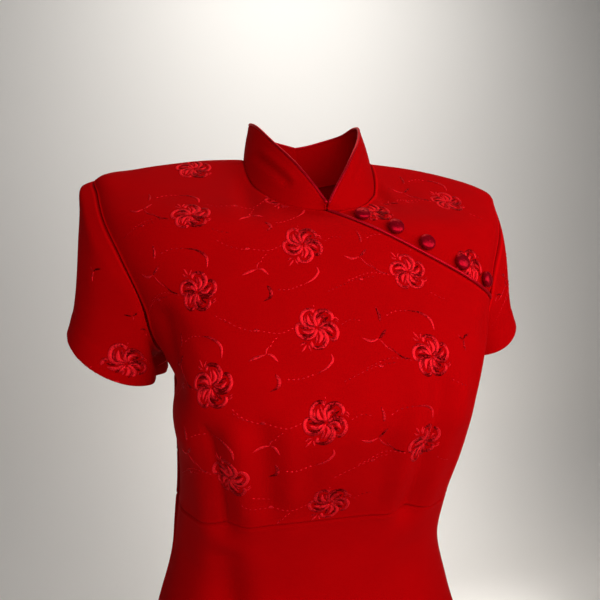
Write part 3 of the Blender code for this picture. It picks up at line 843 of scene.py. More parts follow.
class Shader:
    """A Principled material that is put together node by node."""

    def __init__(self, name: str) -> None:
        """Makes the material with its Principled node."""
        self.material = bpy.data.materials.new(name)
        self.material.use_nodes = True
        self.tree = self.material.node_tree
        self.body = self.tree.nodes["Principled BSDF"]

    def node(
        self, kind: str, settings: dict[str, str] | None = None, output: int | str = 0, **inputs: Value
    ) -> Wire:
        """Adds any node.

        Args:
            kind: The node's type.
            settings: What is set on the node before its inputs.
            output: Which output to read.
            inputs: Values or wires by input name, with _ for a space.

        Returns:
            The output as a wire.
        """
        made = self.tree.nodes.new(kind)
        for key, value in (settings or {}).items():
            setattr(made, key, value)
        for key, value in inputs.items():
            self.put(made.inputs[key.replace("_", " ")], value)
        return Wire(self.tree, made.outputs[output])

    def put(self, place: bpy.types.NodeSocket, value: Value) -> None:
        """Sets one input to a wire or a constant."""
        if isinstance(value, Wire):
            self.tree.links.new(value.socket, place)
        else:
            place.default_value = value

    def set(self, **inputs: Value) -> None:
        """Sets the Principled node's inputs by name, with _ for a space."""
        for key, value in inputs.items():
            self.put(self.body.inputs[key.replace("_", " ")], value)

    def place(self, stretch: Spot = (1, 1, 1)) -> Wire:
        """The object's own coordinates in metres, stretched."""
        where = self.node("ShaderNodeTexCoord", output="Object")
        return self.node("ShaderNodeMapping", Vector=where, Scale=stretch)

    def marks(self) -> tuple[Wire, Wire]:
        """The two marks on each point of the piece."""
        layer = self.node("ShaderNodeUVMap", {"uv_map": "marks"})
        first = self.node("ShaderNodeSeparateXYZ", Vector=layer)
        return first, Wire(self.tree, first.socket.node.outputs[1])

    def noise(self, where: Wire, scale: float, detail: float = 2.0) -> Wire:
        """Noise from 0 to 1."""
        return self.node("ShaderNodeTexNoise", Vector=where, Scale=scale, Detail=detail)

    def blend(self, share: Value, low: Value, high: Value) -> Wire:
        """A colour between two."""
        mix = self.tree.nodes.new("ShaderNodeMix")
        mix.data_type = "RGBA"
        self.put(mix.inputs[0], share)
        self.put(mix.inputs[6], low)
        self.put(mix.inputs[7], high)
        return Wire(self.tree, mix.outputs[2])

    def bump(self, height: Wire, distance: float, strength: float) -> None:
        """Raises the surface's look by a height from 0 to 1, times a distance in metres."""
        normal = self.node("ShaderNodeBump", Height=height, Distance=distance, Strength=strength)
        self.set(Normal=normal)


def shade(colour: Colour, factor: float = 1.0) -> tuple[float, ...]:
    """A colour made lighter or darker, with its alpha."""
    return (*(channel * factor for channel in colour), 1.0)


@dataclass(frozen=True)
class Crepe:
    """Matt crepe with a fine pebbled grain, a faint crosswise slub and a soft nap.

    The marks hold the distance from a sewn edge and how strongly the seam shows. The colour
    is darkened near the edge as painted shade in the groove, with a painted highlight on the
    ridge beside it.
    """

    name: str
    red: Colour = (0.45, 0.0004, 0.0016)
    mottle: float = 0.08
    grain: float = 1500.0
    grain_height: float = 0.00022
    sheen: float = 0.05
    # Painted shade: within this reach of a sewn edge the colour darkens, at most to this factor of the red.
    shade_reach: float = 0.0030
    painted_shade_factor: float = 0.12
    painted_shade_share: float = 0.8
    # Painted highlight: along the ridge beside a seam the colour lightens by this gain and share.
    highlight_place: float = 0.0036
    highlight_reach: float = 0.0018
    highlight_gain: float = 1.7
    highlight_share: float = 0.55

    def build(self) -> bpy.types.Material:
        """Makes the material."""
        shader = Shader(self.name)
        gap, strength = shader.marks()
        # Painted shade in the seam's groove, strongest at the edge itself.
        shade_near_seam = (1 - gap * (1 / self.shade_reach)).apply("MAXIMUM", 0)
        # Painted highlight on the ridge beside the seam, where the seam shows strongly.
        ridge = (gap - self.highlight_place).apply("ABSOLUTE") * (1 / self.highlight_reach)
        ridge = (1 - ridge).apply("MAXIMUM", 0) * strength * strength
        where = shader.place()
        cloud = shader.noise(where, 34.0, 3.0)
        slub = shader.noise(shader.place((90, 90, 900)), 1.0, 2.0)
        pebble = shader.noise(where, self.grain, 2.5)
        mix = cloud * 0.5 + slub * 0.2 + pebble * 0.3
        low, high = shade(self.red, 1 - 2 * self.mottle), shade(self.red, 1 + 2 * self.mottle)
        cloth = shader.blend(mix, low, high)
        # The ridge's painted highlight over the cloth's own colour.
        highlighted_cloth = shader.blend(ridge * self.highlight_share, cloth, shade(self.red, self.highlight_gain))
        # How far the colour is darkened to painted shade near the seam.
        seam = shade_near_seam * strength * self.painted_shade_share
        shader.set(
            Base_Color=shader.blend(seam, highlighted_cloth, shade(self.red, self.painted_shade_factor)),
            Roughness=cloud * 0.12 + 0.72,
            Specular_IOR_Level=0.015,
            Specular_Tint=(1.0, 0.05, 0.05, 1.0),
            Sheen_Weight=self.sheen,
            Sheen_Roughness=0.45,
            Sheen_Tint=(0.9, 0.01, 0.02, 1.0),
        )
        shader.bump(pebble * 0.8 + slub * 0.2, self.grain_height, 0.55)
        return shader.material


@dataclass(frozen=True)
class Satin:
    """Satin cut on the bias, with slanting threads along a cord or over a button."""

    name: str
    red: Colour = (0.33, 0.0012, 0.0100)
    threads: float = 120.0
    roughness: float = 0.26

    def build(self) -> bpy.types.Material:
        """Makes the material."""
        shader = Shader(self.name)
        where = shader.place()
        cloud = shader.noise(where, 120.0, 2.0)
        slant = shader.node(
            "ShaderNodeTexWave",
            {"bands_direction": "DIAGONAL"},
            Vector=where,
            Scale=self.threads,
            Distortion=0.6,
        )
        low, high = shade(self.red, 0.78), shade(self.red, 1.22)
        shader.set(
            Base_Color=shader.blend(cloud * 0.7 + slant * 0.3, low, high),
            Roughness=cloud * 0.12 + self.roughness,
            Metallic=0.55,
            Specular_IOR_Level=0.12,
            Specular_Tint=(1.0, 0.12, 0.18, 1.0),
        )
        shader.bump(slant, 0.00008, 0.35)
        return shader.material


@dataclass(frozen=True)
class Thread:
    """Glossy embroidery thread lying side by side across a stroke.

    The marks hold the length along a stroke and its painted sheen there: how far the colour
    is painted from painted shade towards a painted highlight.
    """

    name: str
    # The colour runs from a dark red of painted shade to a bright red of painted glints.
    painted_shade_red: Colour = (0.115, 0.0002, 0.0005)
    painted_glint_red: Colour = (1.0, 0.014, 0.025)
    pitch: float = 0.00045

    def build(self) -> bpy.types.Material:
        """Makes the material."""
        shader = Shader(self.name)
        along, painted_sheen = shader.marks()
        stripe = (along * (TURN / self.pitch)).apply("SINE") * 0.5 + 0.5
        # Fine noise of painted glints in the colour.
        cloud = shader.noise(shader.place(), 850.0, 1.0)
        # Where the colour lies between painted shade and painted highlight.
        share = painted_sheen * 1.05 + cloud * 1.70 + stripe * 0.10 - 0.86
        shader.set(
            Base_Color=shader.blend(share, shade(self.painted_shade_red), shade(self.painted_glint_red)),
            Roughness=cloud * 0.20 + 0.34,
            Metallic=0.40,
            Specular_IOR_Level=0.04,
            Specular_Tint=(1.0, 0.05, 0.05, 1.0),
        )
        shader.bump(stripe, 0.00012, 0.5)
        return shader.material


@dataclass(frozen=True)
class Paint:
    """A plain matt wall or floor."""

    name: str
    colour: Colour

    def build(self) -> bpy.types.Material:
        """Makes the material."""
        shader = Shader(self.name)
        cloud = shader.noise(shader.place(), 1.3, 3.0)
        low, high = shade(self.colour, 0.985), shade(self.colour, 1.015)
        shader.set(Base_Color=shader.blend(cloud, low, high), Roughness=0.85)
        return shader.material


def finish(made: Object, material: bpy.types.Material, node: str = "") -> None:
    """Gives a piece its material, lets it ride the body, and has it stand for a CAD node.

    Args:
        made: The finished piece.
        material: Its material.
        node: The CAD node that it stands for, or an empty text.
    """
    made.data.materials.clear()
    made.data.materials.append(material)
    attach(made, BODY)
    if node:
        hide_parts(node)
    LOG.info("%s: %d faces", made.name, len(made.data.polygons))


# ---------------------------------------------------------------- bodice


CLOTH_THICK = 0.0010
HEM_THICK = 0.0006
SIDE_RIDGE = 0.0011
CROSS_RIDGE = 0.0002
RIDGE_PLACE = 0.0026
RIDGE_WIDTH = 0.0014
SEWN_EDGES = (Edge.TOP, Edge.START, Edge.END)
# How strongly each sewn edge's painted shade and painted highlight show in the crepe.
PANEL_PAINTED_SEAM_LIGHT = {Edge.TOP: 0.6, Edge.BOTTOM: 0.3, Edge.START: 1.0, Edge.END: 1.0}
SHOULDER_PAINTED_SEAM_LIGHT = {Edge.TOP: 1.0, Edge.START: 1.0, Edge.END: 1.0}
SKIRT_PAINTED_SEAM_LIGHT = {Edge.TOP: 0.3, Edge.START: 0.8, Edge.END: 0.8}


def rolled(grid: Array, normals: Array, edges: tuple[Edge, ...], reach: float, depth: float) -> Array:
    """Rolls the named edges of a grid inward, as cloth does at a pressed seam.

    Within reach of an edge the cloth sinks by depth * (1 - distance / reach) ** 2. The
    allowances folded under it raise a fine ridge along the edge, higher at the sides.

    Args:
        grid: Points, rows by columns.
        normals: Outward unit normals.
        edges: Which edges roll.
        reach: How wide the roll is.
        depth: How deep the edge itself sinks.

    Returns:
        The grid with its rolled edges.
    """
    distances = edge_distances(grid)
    near = np.min([distances[edge] for edge in edges], axis=0)
    bank = np.zeros(near.shape)
    for edge in edges:
        height = SIDE_RIDGE if edge in (Edge.START, Edge.END) else CROSS_RIDGE
        bank = np.maximum(bank, height * hill(distances[edge] - RIDGE_PLACE, RIDGE_WIDTH))
    return grid + (bank - depth * np.clip(1 - near / reach, 0, 1) ** 2)[..., None] * normals


def hem_step(grid: Array, width: float, softness: float) -> tuple[Array, Array]:
    """Where a turned-up hem lies on a grid whose last row is its edge.

    The step is the logistic curve 1 / (1 + exp((above - width) / softness)).

    Args:
        grid: Points, rows by columns.
        width: How far up the hem is turned.
        softness: How softly its upper edge shows.

    Returns:
        Each point's length above the edge, and a number from 1 on the hem to 0 above it.
    """
    above = lengths(grid[::-1])[::-1]
    return above, 1 / (1 + np.exp(np.clip((above - width) / softness, -60, 60)))


@dataclass
class Bodice:
    """The panels above the waist seam: the front, the shoulder piece and the back."""

    form: Form
    seams: Seams
    cloth: Cloth
    fineness: int = 5
    relax_steps: int = 60
    relax_halvings: int = 26
    roll_reach: float = 0.0024
    roll_depth: float = 0.0009
    lap: float = 0.012
    lap_rows: tuple[float, ...] = (0.25, 0.5, 0.75, 1.0)
    lap_start: float = 0.25
    lap_sink: float = 0.0020
    lap_flat: float = 0.003
    lap_blend: float = 0.012

    def front_edges(self, k: int) -> tuple[Array, Array, Array, Array]:
        """The front's neckline and placket, waist seam, right side and left side."""
        seams = self.seams
        top = joined(seams.neckline(Side.RIGHT, True, NECK_STEPS * k), seams.placket(PLACKET_STEPS * k))
        below = seams.armhole(Side.LEFT, True, ARMHOLE_STEPS * k)[OPENING_STEP * k :]
        left = joined(even(below, (SHOULDER_STEPS + ARMHOLE_STEPS) * k), seams.side_seam(Side.LEFT, k))
        return top, seams.waist_line(True, len(top) - 1), seams.whole_side(Side.RIGHT, True, k), left

    def back_edges(self, k: int) -> tuple[Array, Array, Array, Array]:
        """The back's neckline, waist seam and sides."""
        right, left = (self.seams.neckline(side, False, NECK_STEPS * k) for side in Side)
        sides = [self.seams.whole_side(side, False, k) for side in Side]
        return joined(right, left[::-1]), self.seams.waist_line(False, 2 * NECK_STEPS * k), *sides

    def shoulder_edges(self, k: int) -> tuple[Array, Array, Array, Array]:
        """The shoulder piece's shoulder seam, placket, neckline and armhole."""
        seams = self.seams
        top = even(seams.side(Side.LEFT, 0, seams.tip, SHOULDER_STEPS * k), PLACKET_STEPS * k)
        above = seams.armhole(Side.LEFT, True, ARMHOLE_STEPS * k)[: OPENING_STEP * k + 1]
        start = seams.neckline(Side.LEFT, True, NECK_STEPS * k)
        return top, seams.placket(PLACKET_STEPS * k), start, even(above, NECK_STEPS * k)

    def relaxed(self, grid: Array, steps: int) -> Array:
        """Evens out a grid on the form: each inner point moves to the mean of its neighbours."""
        for _ in range(steps):
            sideways = grid[1:-1, :-2] + grid[1:-1, 2:]
            upright = grid[:-2, 1:-1] + grid[2:, 1:-1]
            grid[1:-1, 1:-1] = self.form.onto((sideways + upright) / 4, self.relax_halvings)
        return grid

    def filled(self, edges: Edges) -> Array:
        """A fine grid of points on the form between four edges.

        The coarse patch is evened out first. Its shift from the flat patch is read
        smoothly at the fine grid's places and added to the fine flat patch.

        Args:
            edges: Gives the four edges at a fineness.

        Returns:
            The grid.
        """
        flat = coons(*edges(1))
        shift = self.relaxed(flat.copy(), self.relax_steps) - flat
        grid = coons(*edges(self.fineness))
        rows, columns = (np.arange(count) / self.fineness for count in grid.shape[:2])
        shift = smooth(smooth(shift, rows).swapaxes(0, 1), columns).swapaxes(0, 1)
        grid[1:-1, 1:-1] = self.form.onto((grid + shift)[1:-1, 1:-1])
        return close_edges(self.relaxed(grid, 3))

    def ground(
        self, edges: Edges, ahead: bool, tuck: Callable[[Array], Array] | None = None
    ) -> "FormGround":
        """The panel between four edges, as a ground for embroidery."""
        top, bottom, start, end = edges(self.fineness)
        outline = np.concatenate([top, end[1:], bottom[-2::-1], start[-2:0:-1]])[::2]
        return FormGround(self.cloth, outline[:, [0, 2]], ahead, tuck=tuck)

    def panel(self, name: str, edges: Edges) -> Object:
        """Makes a panel that is sewn all round."""
        grid = self.filled(edges)
        normals = self.form.normals(grid)
        worn = rolled(self.cloth.worn(grid), normals, tuple(Edge), self.roll_reach, self.roll_depth)
        return make_shell(name, worn, normals, CLOTH_THICK, painted_seam_light_marks(grid, PANEL_PAINTED_SEAM_LIGHT))

    def tucked(self, points: Array) -> Array:
        """How far the shoulder piece sinks under the front, by its height over the placket."""
        line = self.seams.placket(TUCK_STEPS)
        gap = np.linalg.norm(points[..., None, :] - line, axis=-1)
        above = points[..., 2] > line[np.argmin(gap, axis=-1), 2]
        distance = np.where(above, np.min(gap, axis=-1), 0)
        return self.lap_sink * rise(-distance, -self.lap_flat - self.lap_blend, -self.lap_flat)

    def shoulder(self, name: str) -> Object:
        """Makes the shoulder piece, whose lower edge is tucked under the front."""
        grid = self.filled(self.shoulder_edges)
        line = grid[-1]
        share = np.linspace(0, 1, len(line))
        lap = self.lap * np.clip(share / self.lap_start, 0, 1) * (1 - share**6)
        below = [
            self.form.onto(self.form.at_height(line[:, 0], line[:, 2] - part * lap, True))
            for part in self.lap_rows
        ]
        grid = np.concatenate([grid, below])
        normals = self.form.normals(grid)
        worn = self.cloth.worn(grid) - self.tucked(grid)[..., None] * normals
        worn = rolled(worn, normals, SEWN_EDGES, self.roll_reach, self.roll_depth)
        return make_shell(name, worn, normals, CLOTH_THICK, painted_seam_light_marks(grid, SHOULDER_PAINTED_SEAM_LIGHT))


# ---------------------------------------------------------------- skirt


@dataclass
class Skirt:
    """The plain skirt: a front and a back, sewn at the sides down to the vents."""

    form: Form
    seams: Seams
    cloth: Cloth
    rows: int = 150
    columns: int = 110
    roll_reach: float = 0.0030
    roll_depth: float = 0.0009
    hem_width: float = 0.030
    hem_softness: float = 0.0012
    hem_roll_reach: float = 0.0015
    hem_roll_depth: float = 0.0007

    def grid(self, ahead: bool) -> Array:
        """Points from the waist seam to the hem, parted along the vents."""
        seams = self.seams
        places = np.linspace(seams.waist, seams.hem, self.rows + 1)
        height = np.interp(places, self.form.place, self.form.table["height"])
        vent = np.clip((VENT_HEIGHT - height) / (VENT_HEIGHT - LEVELS[-1].height), 0, 1)
        spread = seams.vent_spread * vent / LEVELS[-1].half_width
        half_turn = math.pi if ahead else -math.pi
        sign = math.copysign(1, half_turn)
        share = np.linspace(0, 1, self.columns + 1)
        start = math.pi + spread * sign
        turn = start[:, None] + (half_turn - 2 * spread * sign)[:, None] * share
        raised = seams.waist_place(turn[0]) - seams.waist
        down = (seams.hem - places[:, None]) / (seams.hem - seams.waist)
        return self.form.around(turn, places[:, None] + raised * down)

    def panel(self, name: str, ahead: bool) -> Object:
        """Makes one skirt panel, with the turned-up hem showing as a soft step."""
        grid = close_edges(self.grid(ahead))
        normals = self.form.normals(grid)
        worn = rolled(self.cloth.worn(grid), normals, SEWN_EDGES, self.roll_reach, self.roll_depth)
        _, step = hem_step(grid, self.hem_width, self.hem_softness)
        worn = worn + (HEM_THICK * step)[..., None] * normals
        worn = rolled(worn, normals, (Edge.BOTTOM,), self.hem_roll_reach, self.hem_roll_depth)
        return make_shell(name, worn, normals, CLOTH_THICK, painted_seam_light_marks(grid, SKIRT_PAINTED_SEAM_LIGHT))


# ---------------------------------------------------------------- sleeves


FOLD_FADE = 0.25


@dataclass(frozen=True)
class SleeveFold:
    """A soft trough down a sleeve, between two shares of the way down.

    Its place, lean and width are in degrees round from the sleeve's top line.
    """

    degrees: float
    lean: float
    width: float
    depth: float
    start: float
    end: float


RIGHT_FOLDS = (
    SleeveFold(171, 0, 19, 0.0190, 0.0, 1.3),
    SleeveFold(60, -10, 12, 0.0012, 0.1, 0.8),
)
LEFT_FOLDS = (
    SleeveFold(162, 0, 10, 0.0060, 0.0, 1.2),
    SleeveFold(48, -10, 12, 0.0012, 0.1, 0.8),
)


@dataclass
class Sleeve:
    """A short set-in sleeve over a padded shoulder, with a curved hem."""

    name: str
    side: Side
    seams: Seams
    x: float
    z: float
    half_width: float
    puff: float
    flare: float
    folds: tuple[SleeveFold, ...]
    y: float = -0.002
    square: float = 0.0
    square_out: float = 0.80
    square_up: float = 0.60
    lift: float = 0.0
    cap_place: float = 0.18
    cap_length: float = 0.11
    half_depth: float = 0.062
    tilt: float = 0.021
    dip: float = 0.013
    spread: float = 0.15
    fullness: float = 0.25
    cap_lift: float = 0.90
    underarm_reach: float = 0.30
    hem_reach: float = 0.30
    cap_hem_reach: float = 0.08
    seam_gap: float = 0.0003
    steps: int = 64
    around: int = 70
    hem_width: float = 0.020
    hem_softness: float = 0.001
    hem_roll_reach: float = 0.0016
    hem_roll_depth: float = 0.0006
    roll_reach: float = 0.0040
    roll_depth: float = 0.0017
    # Stretches how far the painted shade and painted highlight reach from the armhole seam.
    painted_seam_light_scale: float = 1.0

    def rings(self) -> Array:
        """Rings of points from the armhole seam to the hem.

        Each line down the sleeve is a cubic Bezier curve. It leaves the armhole outward
        over the cap and downward under the arm, and comes down into the hem.
        """
        seams, side = self.seams, self.side.value
        front, back = (seams.armhole(self.side, ahead, self.around) for ahead in (True, False))
        seam = np.concatenate([front[:-1], back[:0:-1]])
        angle = np.linspace(0, TURN, len(seam), endpoint=False)
        over = ((1 + np.cos(angle)) / 2) ** 2
        x = side * (self.x + self.half_width * np.cos(angle))
        y = self.y - self.half_depth * np.sin(angle)
        z = self.z + self.tilt * np.cos(angle) - self.dip * np.sin(angle) ** 2 + self.lift * over
        hem = np.stack([x, y, z], axis=-1)
        length = np.linalg.norm(hem - seam, axis=1)[:, None]
        bulge = -self.fullness * np.sin(angle) * (1 - over)
        leaving = unit(np.stack([side * (over + self.spread), bulge, self.cap_lift * over - 1], -1))
        coming = unit(np.stack([side * self.flare * over, 0 * over, 0 * over - 1], -1))
        along = unit(np.roll(seam, -1, axis=0) - np.roll(seam, 1, axis=0))
        sideways = unit(leaving - along * np.sum(leaving * along, axis=1)[:, None])
        apart = unit(sideways - side * np.cross(seams.form.normals(seam), along))
        start = seam + self.seam_gap * apart
        reach = self.puff * over + self.underarm_reach * (1 - over)
        first = start + leaving * length * reach[:, None]
        last = hem - coming * length * (self.hem_reach + self.cap_hem_reach * over[:, None])
        share = np.linspace(0, 1, self.steps + 1)[:, None, None]
        rings = (1 - share) ** 3 * start + 3 * (1 - share) ** 2 * share * first
        rings = rings + 3 * (1 - share) * share**2 * last + share**3 * hem
        swell = hill(share - self.cap_place, self.cap_length)
        swell = self.square * swell * np.clip(share / self.cap_place, 0, 1)
        return rings + swell * over[:, None] * np.array([side * self.square_out, 0, self.square_up])

    def folded(self, rings: Array, normals: Array) -> Array:
        """Sinks the sleeve along its folds and thickens its turned hem."""
        angle = np.linspace(0, 360, rings.shape[1], endpoint=False)[None]
        share = np.linspace(0, 1, len(rings))[:, None]
        sink = np.zeros(rings.shape[:2])
        for fold in self.folds:
            aside = (angle - fold.degrees - fold.lean * share + 180) % 360 - 180
            ends = np.clip((share - fold.start) / FOLD_FADE, 0, 1)
            ends = ends * np.clip((fold.end - share) / FOLD_FADE, 0, 1)
            sink += fold.depth * ends * hill(aside, fold.width)
        above, step = hem_step(rings, self.hem_width, self.hem_softness)
        sink += self.hem_roll_depth * np.clip(1 - above / self.hem_roll_reach, 0, 1) ** 2
        return rings + (HEM_THICK * step - sink)[..., None] * normals

    def ground(self) -> "GridGround":
        """The sleeve's surface, as a ground for embroidery."""
        rings = self.rings()
        normals = grid_normals(rings, True) * -self.side.value
        return GridGround(self.folded(rings, normals), normals)

    def build(self) -> Object:
        """Makes the sleeve."""
        rings = self.rings()
        rings = smooth(rings, with_close_rows(len(rings) - 1, (0.15, 0.45)))
        normals = grid_normals(rings, True) * -self.side.value
        rings = self.folded(rings, normals)
        below = lengths(rings)
        roll = self.roll_depth * np.clip(1 - below / self.roll_reach, 0, 1) ** 2
        rings = rings - roll[..., None] * normals
        # The marks carry the painted shade and painted highlight along the armhole seam.
        marks = np.stack([below * self.painted_seam_light_scale, np.ones(below.shape)], axis=-1)
        return make_shell(self.name, rings, normals, CLOTH_THICK, marks, closed=True)


# ---------------------------------------------------------------- collar, cords and buttons


class EdgePoint(NamedTuple):
    """A point of the collar's upper edge, at a share of the way from the throat round to the back."""

    share: float
    x: float
    y: float
    z: float


COLLAR_EDGE = (
    EdgePoint(0.00, 0.0018, -0.0850, -0.0570),
    EdgePoint(0.13, 0.0125, -0.0800, -0.0390),
    EdgePoint(0.27, 0.0270, -0.0710, -0.0180),
    EdgePoint(0.41, 0.0425, -0.0530, 0.0040),
    EdgePoint(0.55, 0.0540, -0.0270, 0.0260),
    EdgePoint(0.68, 0.0575, 0.0020, 0.0370),
    EdgePoint(0.84, 0.0450, 0.0300, 0.0350),
    EdgePoint(1.00, 0.0000, 0.0460, 0.0300),
)
ROLL_FADE = 0.008


@dataclass(frozen=True)
class CollarRoll:
    """A soft roll down the front of one half of the collar, along a line (|x|, z)."""

    side: Side
    start: Point
    end: Point
    width: float
    depth: float

    def sink(self, points: Array) -> Array:
        """How far points sink: a bell curve with a bank half as high on its inner side."""
        x, y, z = np.moveaxis(points, -1, 0)
        along, aside, length = beside(self.side.value * x, z, self.start, self.end)
        fade = np.clip(along / ROLL_FADE, 0, 1) * np.clip((length - along) / ROLL_FADE, 0, 1)
        trough = hill(aside, self.width) - 0.5 * hill(aside - 2 * self.width, self.width)
        return np.where(y < 0, self.depth * fade * trough, 0)


@dataclass
class Collar:
    """The stand collar, open in a V at the front, with a satin cord along its edge."""

    seams: Seams
    thick: float = 0.0018
    end_gap: float = 0.0018
    lean: float = 0.0040
    bow: float = 0.0012
    tuck: float = 0.0016
    rolls: tuple[CollarRoll, ...] = (
        CollarRoll(Side.RIGHT, (0.062, -0.002), (0.030, -0.041), 0.0034, 0.0022),
        CollarRoll(Side.LEFT, (0.054, 0.002), (0.028, -0.036), 0.0034, 0.0012),
    )
    full_height: float = 0.03
    roll_reach: float = 0.0018
    roll_depth: float = 0.0007
    rows: int = 22
    steps: int = 80
    cord: float = 0.0013
    cord_over: float = 0.75
    cord_inward: float = 0.45

    def lines(self) -> tuple[Array, Array]:
        """The collar's lower and upper edges, from the right end round the back."""
        seams = self.seams
        half = joined(
            seams.neckline(Side.RIGHT, True, self.steps)[::-1],
            seams.neckline(Side.RIGHT, False, self.steps),
        )
        share = lengths(half) / lengths(half)[-1]
        table = np.array(COLLAR_EDGE)
        place = np.interp(share, table[:, 0], np.arange(len(table)))
        edge = smooth(table[:, 1:], place) * (-1, 1, 1)
        half[0, 0] = -self.end_gap
        base, top = (np.concatenate([line, line[-2::-1] * (-1, 1, 1)]) for line in (half, edge))
        low, high = COLLAR_EDGE[0].z, COLLAR_EDGE[-1].z
        top[:, 0] -= self.lean * (top[:, 2] - low) / (high - low)
        return base, top

    def grid(self) -> tuple[Array, Array]:
        """The collar's outer points from its edge down, and their outward normals."""
        base, top = self.lines()
        share = np.linspace(1, 0, self.rows + 1)[:, None, None]
        base = base - self.tuck * unit(top - base)
        outer = base + share * (top - base)
        normals = -grid_normals(outer)
        height = np.linalg.norm(top - base, axis=-1)[None, :, None]
        full = np.clip(height / self.full_height, 0, 1)
        outer = outer + self.bow * full * np.sin(math.pi * share) * normals
        outer = outer - sum(roll.sink(outer) for roll in self.rolls)[..., None] * normals
        return outer, -grid_normals(outer)

    def build(self) -> Object:
        """Makes the collar."""
        outer, normals = self.grid()
        outer, normals = close_edges(outer), unit(close_edges(normals))
        outer = rolled(outer, normals, (Edge.TOP, Edge.BOTTOM), self.roll_reach, self.roll_depth)
        return make_shell("stand_collar", outer, normals, self.thick)

    def build_cord(self) -> Object:
        """Makes the cord along the collar's edge."""
        base, top = self.lines()
        normal = self.grid()[1][0]
        over = unit(top - base) * self.cord * self.cord_over
        path = even(top + over - normal * self.thick * self.cord_inward, 4 * self.steps)
        upright = np.stack([np.interp(lengths(path), lengths(top), axis) for axis in normal.T], -1)
        return make_cord("collar_cord", path, self.cord, upright)


@dataclass
class Placket:
    """The cord along the diagonal opening, and the places of the buttons above it."""

    seams: Seams
    cord: float = 0.0013
    cord_over: float = 0.7
    cord_stand: float = 0.0005
    cord_steps: int = 260
    cord_short: int = 2
    button_rise: float = 0.0115

    def frame(self, steps: int) -> tuple[Array, Array, Array, Array]:
        """Points of the edge, with their directions along, above and outward."""
        edge = self.seams.placket(steps)
        normal = self.seams.form.normals(edge)
        ahead = unit(np.gradient(edge, axis=0))
        return edge, ahead, np.cross(normal, ahead), normal

    def build_cord(self) -> Object:
        """Makes the cord."""
        edge, _, above, normal = self.frame(self.cord_steps)
        path = edge + above * self.cord * self.cord_over + normal * self.cord_stand
        kept = slice(self.cord_short, -self.cord_short)
        return make_cord("placket_cord", path[kept], self.cord, normal[kept])


@dataclass(frozen=True)
class Button:
    """A domed button covered in satin, gathered under its rim."""

    number: int
    share: float
    placket: Placket
    radius: float = 0.0075
    height: float = 0.0055
    rim_share: float = 0.36
    turn_under: float = 0.68 * math.pi
    stand: float = 0.0003
    sides: int = 64
    rings: int = 18
    tucks: int = 13
    tuck_depth: float = 0.035
    tuck_shift: float = 1.7
    tuck_start: float = 1.0
    tuck_spread: float = 0.9
    crown_tilt: float = 0.02
    out_power: float = 0.92
    lift_power: float = 0.9
    placket_steps: int = 256

    def build(self) -> Object:
        """Makes the button: a dome that turns in below its widest line.

        Going out from the crown by the tilt angle, the radius is radius * sin(tilt) and
        the height follows its cosine, a little flattened on top. Small tucks wave the rim.
        """
        place = round(self.share * self.placket_steps)
        edge, ahead, above, normal = (row[place] for row in self.placket.frame(self.placket_steps))
        centre = edge + above * self.placket.button_rise + normal * self.stand
        tilt = np.linspace(self.crown_tilt, self.turn_under, self.rings)[:, None]
        turn = np.linspace(0, TURN, self.sides, endpoint=False)[None]
        rim = np.clip((tilt - self.tuck_start) / self.tuck_spread, 0, 1) ** 2
        wave = 1 + self.tuck_depth * rim * np.cos(self.tucks * turn + self.tuck_shift * self.number)
        out = self.radius * np.sin(tilt) ** self.out_power * wave
        low = self.height * self.rim_share
        level = np.sign(np.cos(tilt)) * np.abs(np.cos(tilt)) ** self.lift_power
        lift = low + (self.height - low) * level
        points = (
            centre
            + (out * np.cos(turn))[..., None] * ahead
            + (out * np.sin(turn))[..., None] * above
            + (lift + 0 * turn)[..., None] * normal
        )
        tips = np.stack([centre + self.height * normal, centre + lift[-1, 0] * normal])
        return make_capped(f"covered_button_{self.number}", points, tips, True)


# ---------------------------------------------------------------- embroidery


class Stitch(Enum):
    """How a stroke of embroidery is worked."""

    BAND = "satin stitches across an even band"
    LEAF = "satin stitches across a leaf that is pointed at both ends"
    COMMA = "satin stitches across a stroke that is full at its start and thin at its end"
    RUN = "short running stitches along a line"


@dataclass(frozen=True)
class Stroke:
    """One stroke of a motif: a line of points in millimetres, +y up, and a width."""

    stitch: Stitch
    line: tuple[Point, ...]
    width: float
    # How bright its colour is painted: a painted highlight when high, painted shade when low.
    painted_sheen: float = 0.5


PETAL = Stroke(
    Stitch.BAND,
    ((0.8, 0.4), (5.2, 4.6), (10.4, 6.8), (15.0, 4.4), (16.2, -0.6), (14.2, -4.6), (10.8, -5.4)),
    3.0,
)
# The inner lobe is painted a little brighter, the two outer ones darker as painted shade.
LOBES = (
    Stroke(Stitch.LEAF, ((2.0, -0.4), (7.2, 1.5), (12.8, -0.2)), 3.4, 0.2),
    Stroke(Stitch.LEAF, ((4.2, 2.8), (8.8, 4.6), (13.6, 2.6)), 2.3, -0.5),
    Stroke(Stitch.LEAF, ((4.6, -1.8), (8.8, -2.4), (13.2, -2.4)), 2.1, -0.4),
)
PETAL_ANGLES = (60.0, 130.0, 197.0, 275.0, 345.0)
# Each petal's painted sheen: its thread colour painted brighter or darker.
PETAL_PAINTED_SHEEN = (0.38, 0.52, 0.62, 0.50, 0.46)
# In these tables the last number of a stroke is its painted sheen: how bright its colour is painted.
SPRIG = (
    Stroke(Stitch.LEAF, ((-9.0, -12.0), (-12.5, -12.4), (-14.6, -14.4)), 1.7, 0.7),
    Stroke(Stitch.LEAF, ((-9.4, -13.4), (-11.6, -16.0), (-14.0, -19.0)), 1.7, 0.8),
    Stroke(Stitch.LEAF, ((-8.2, -13.4), (-7.8, -15.8), (-6.6, -18.4)), 1.7, 0.5),
    Stroke(Stitch.LEAF, ((13.0, 8.0), (15.2, 7.8), (17.6, 5.6)), 1.2, 0.8),
    Stroke(Stitch.LEAF, ((13.6, 5.8), (15.6, 5.4), (17.2, 3.8)), 1.0, 0.6),
)
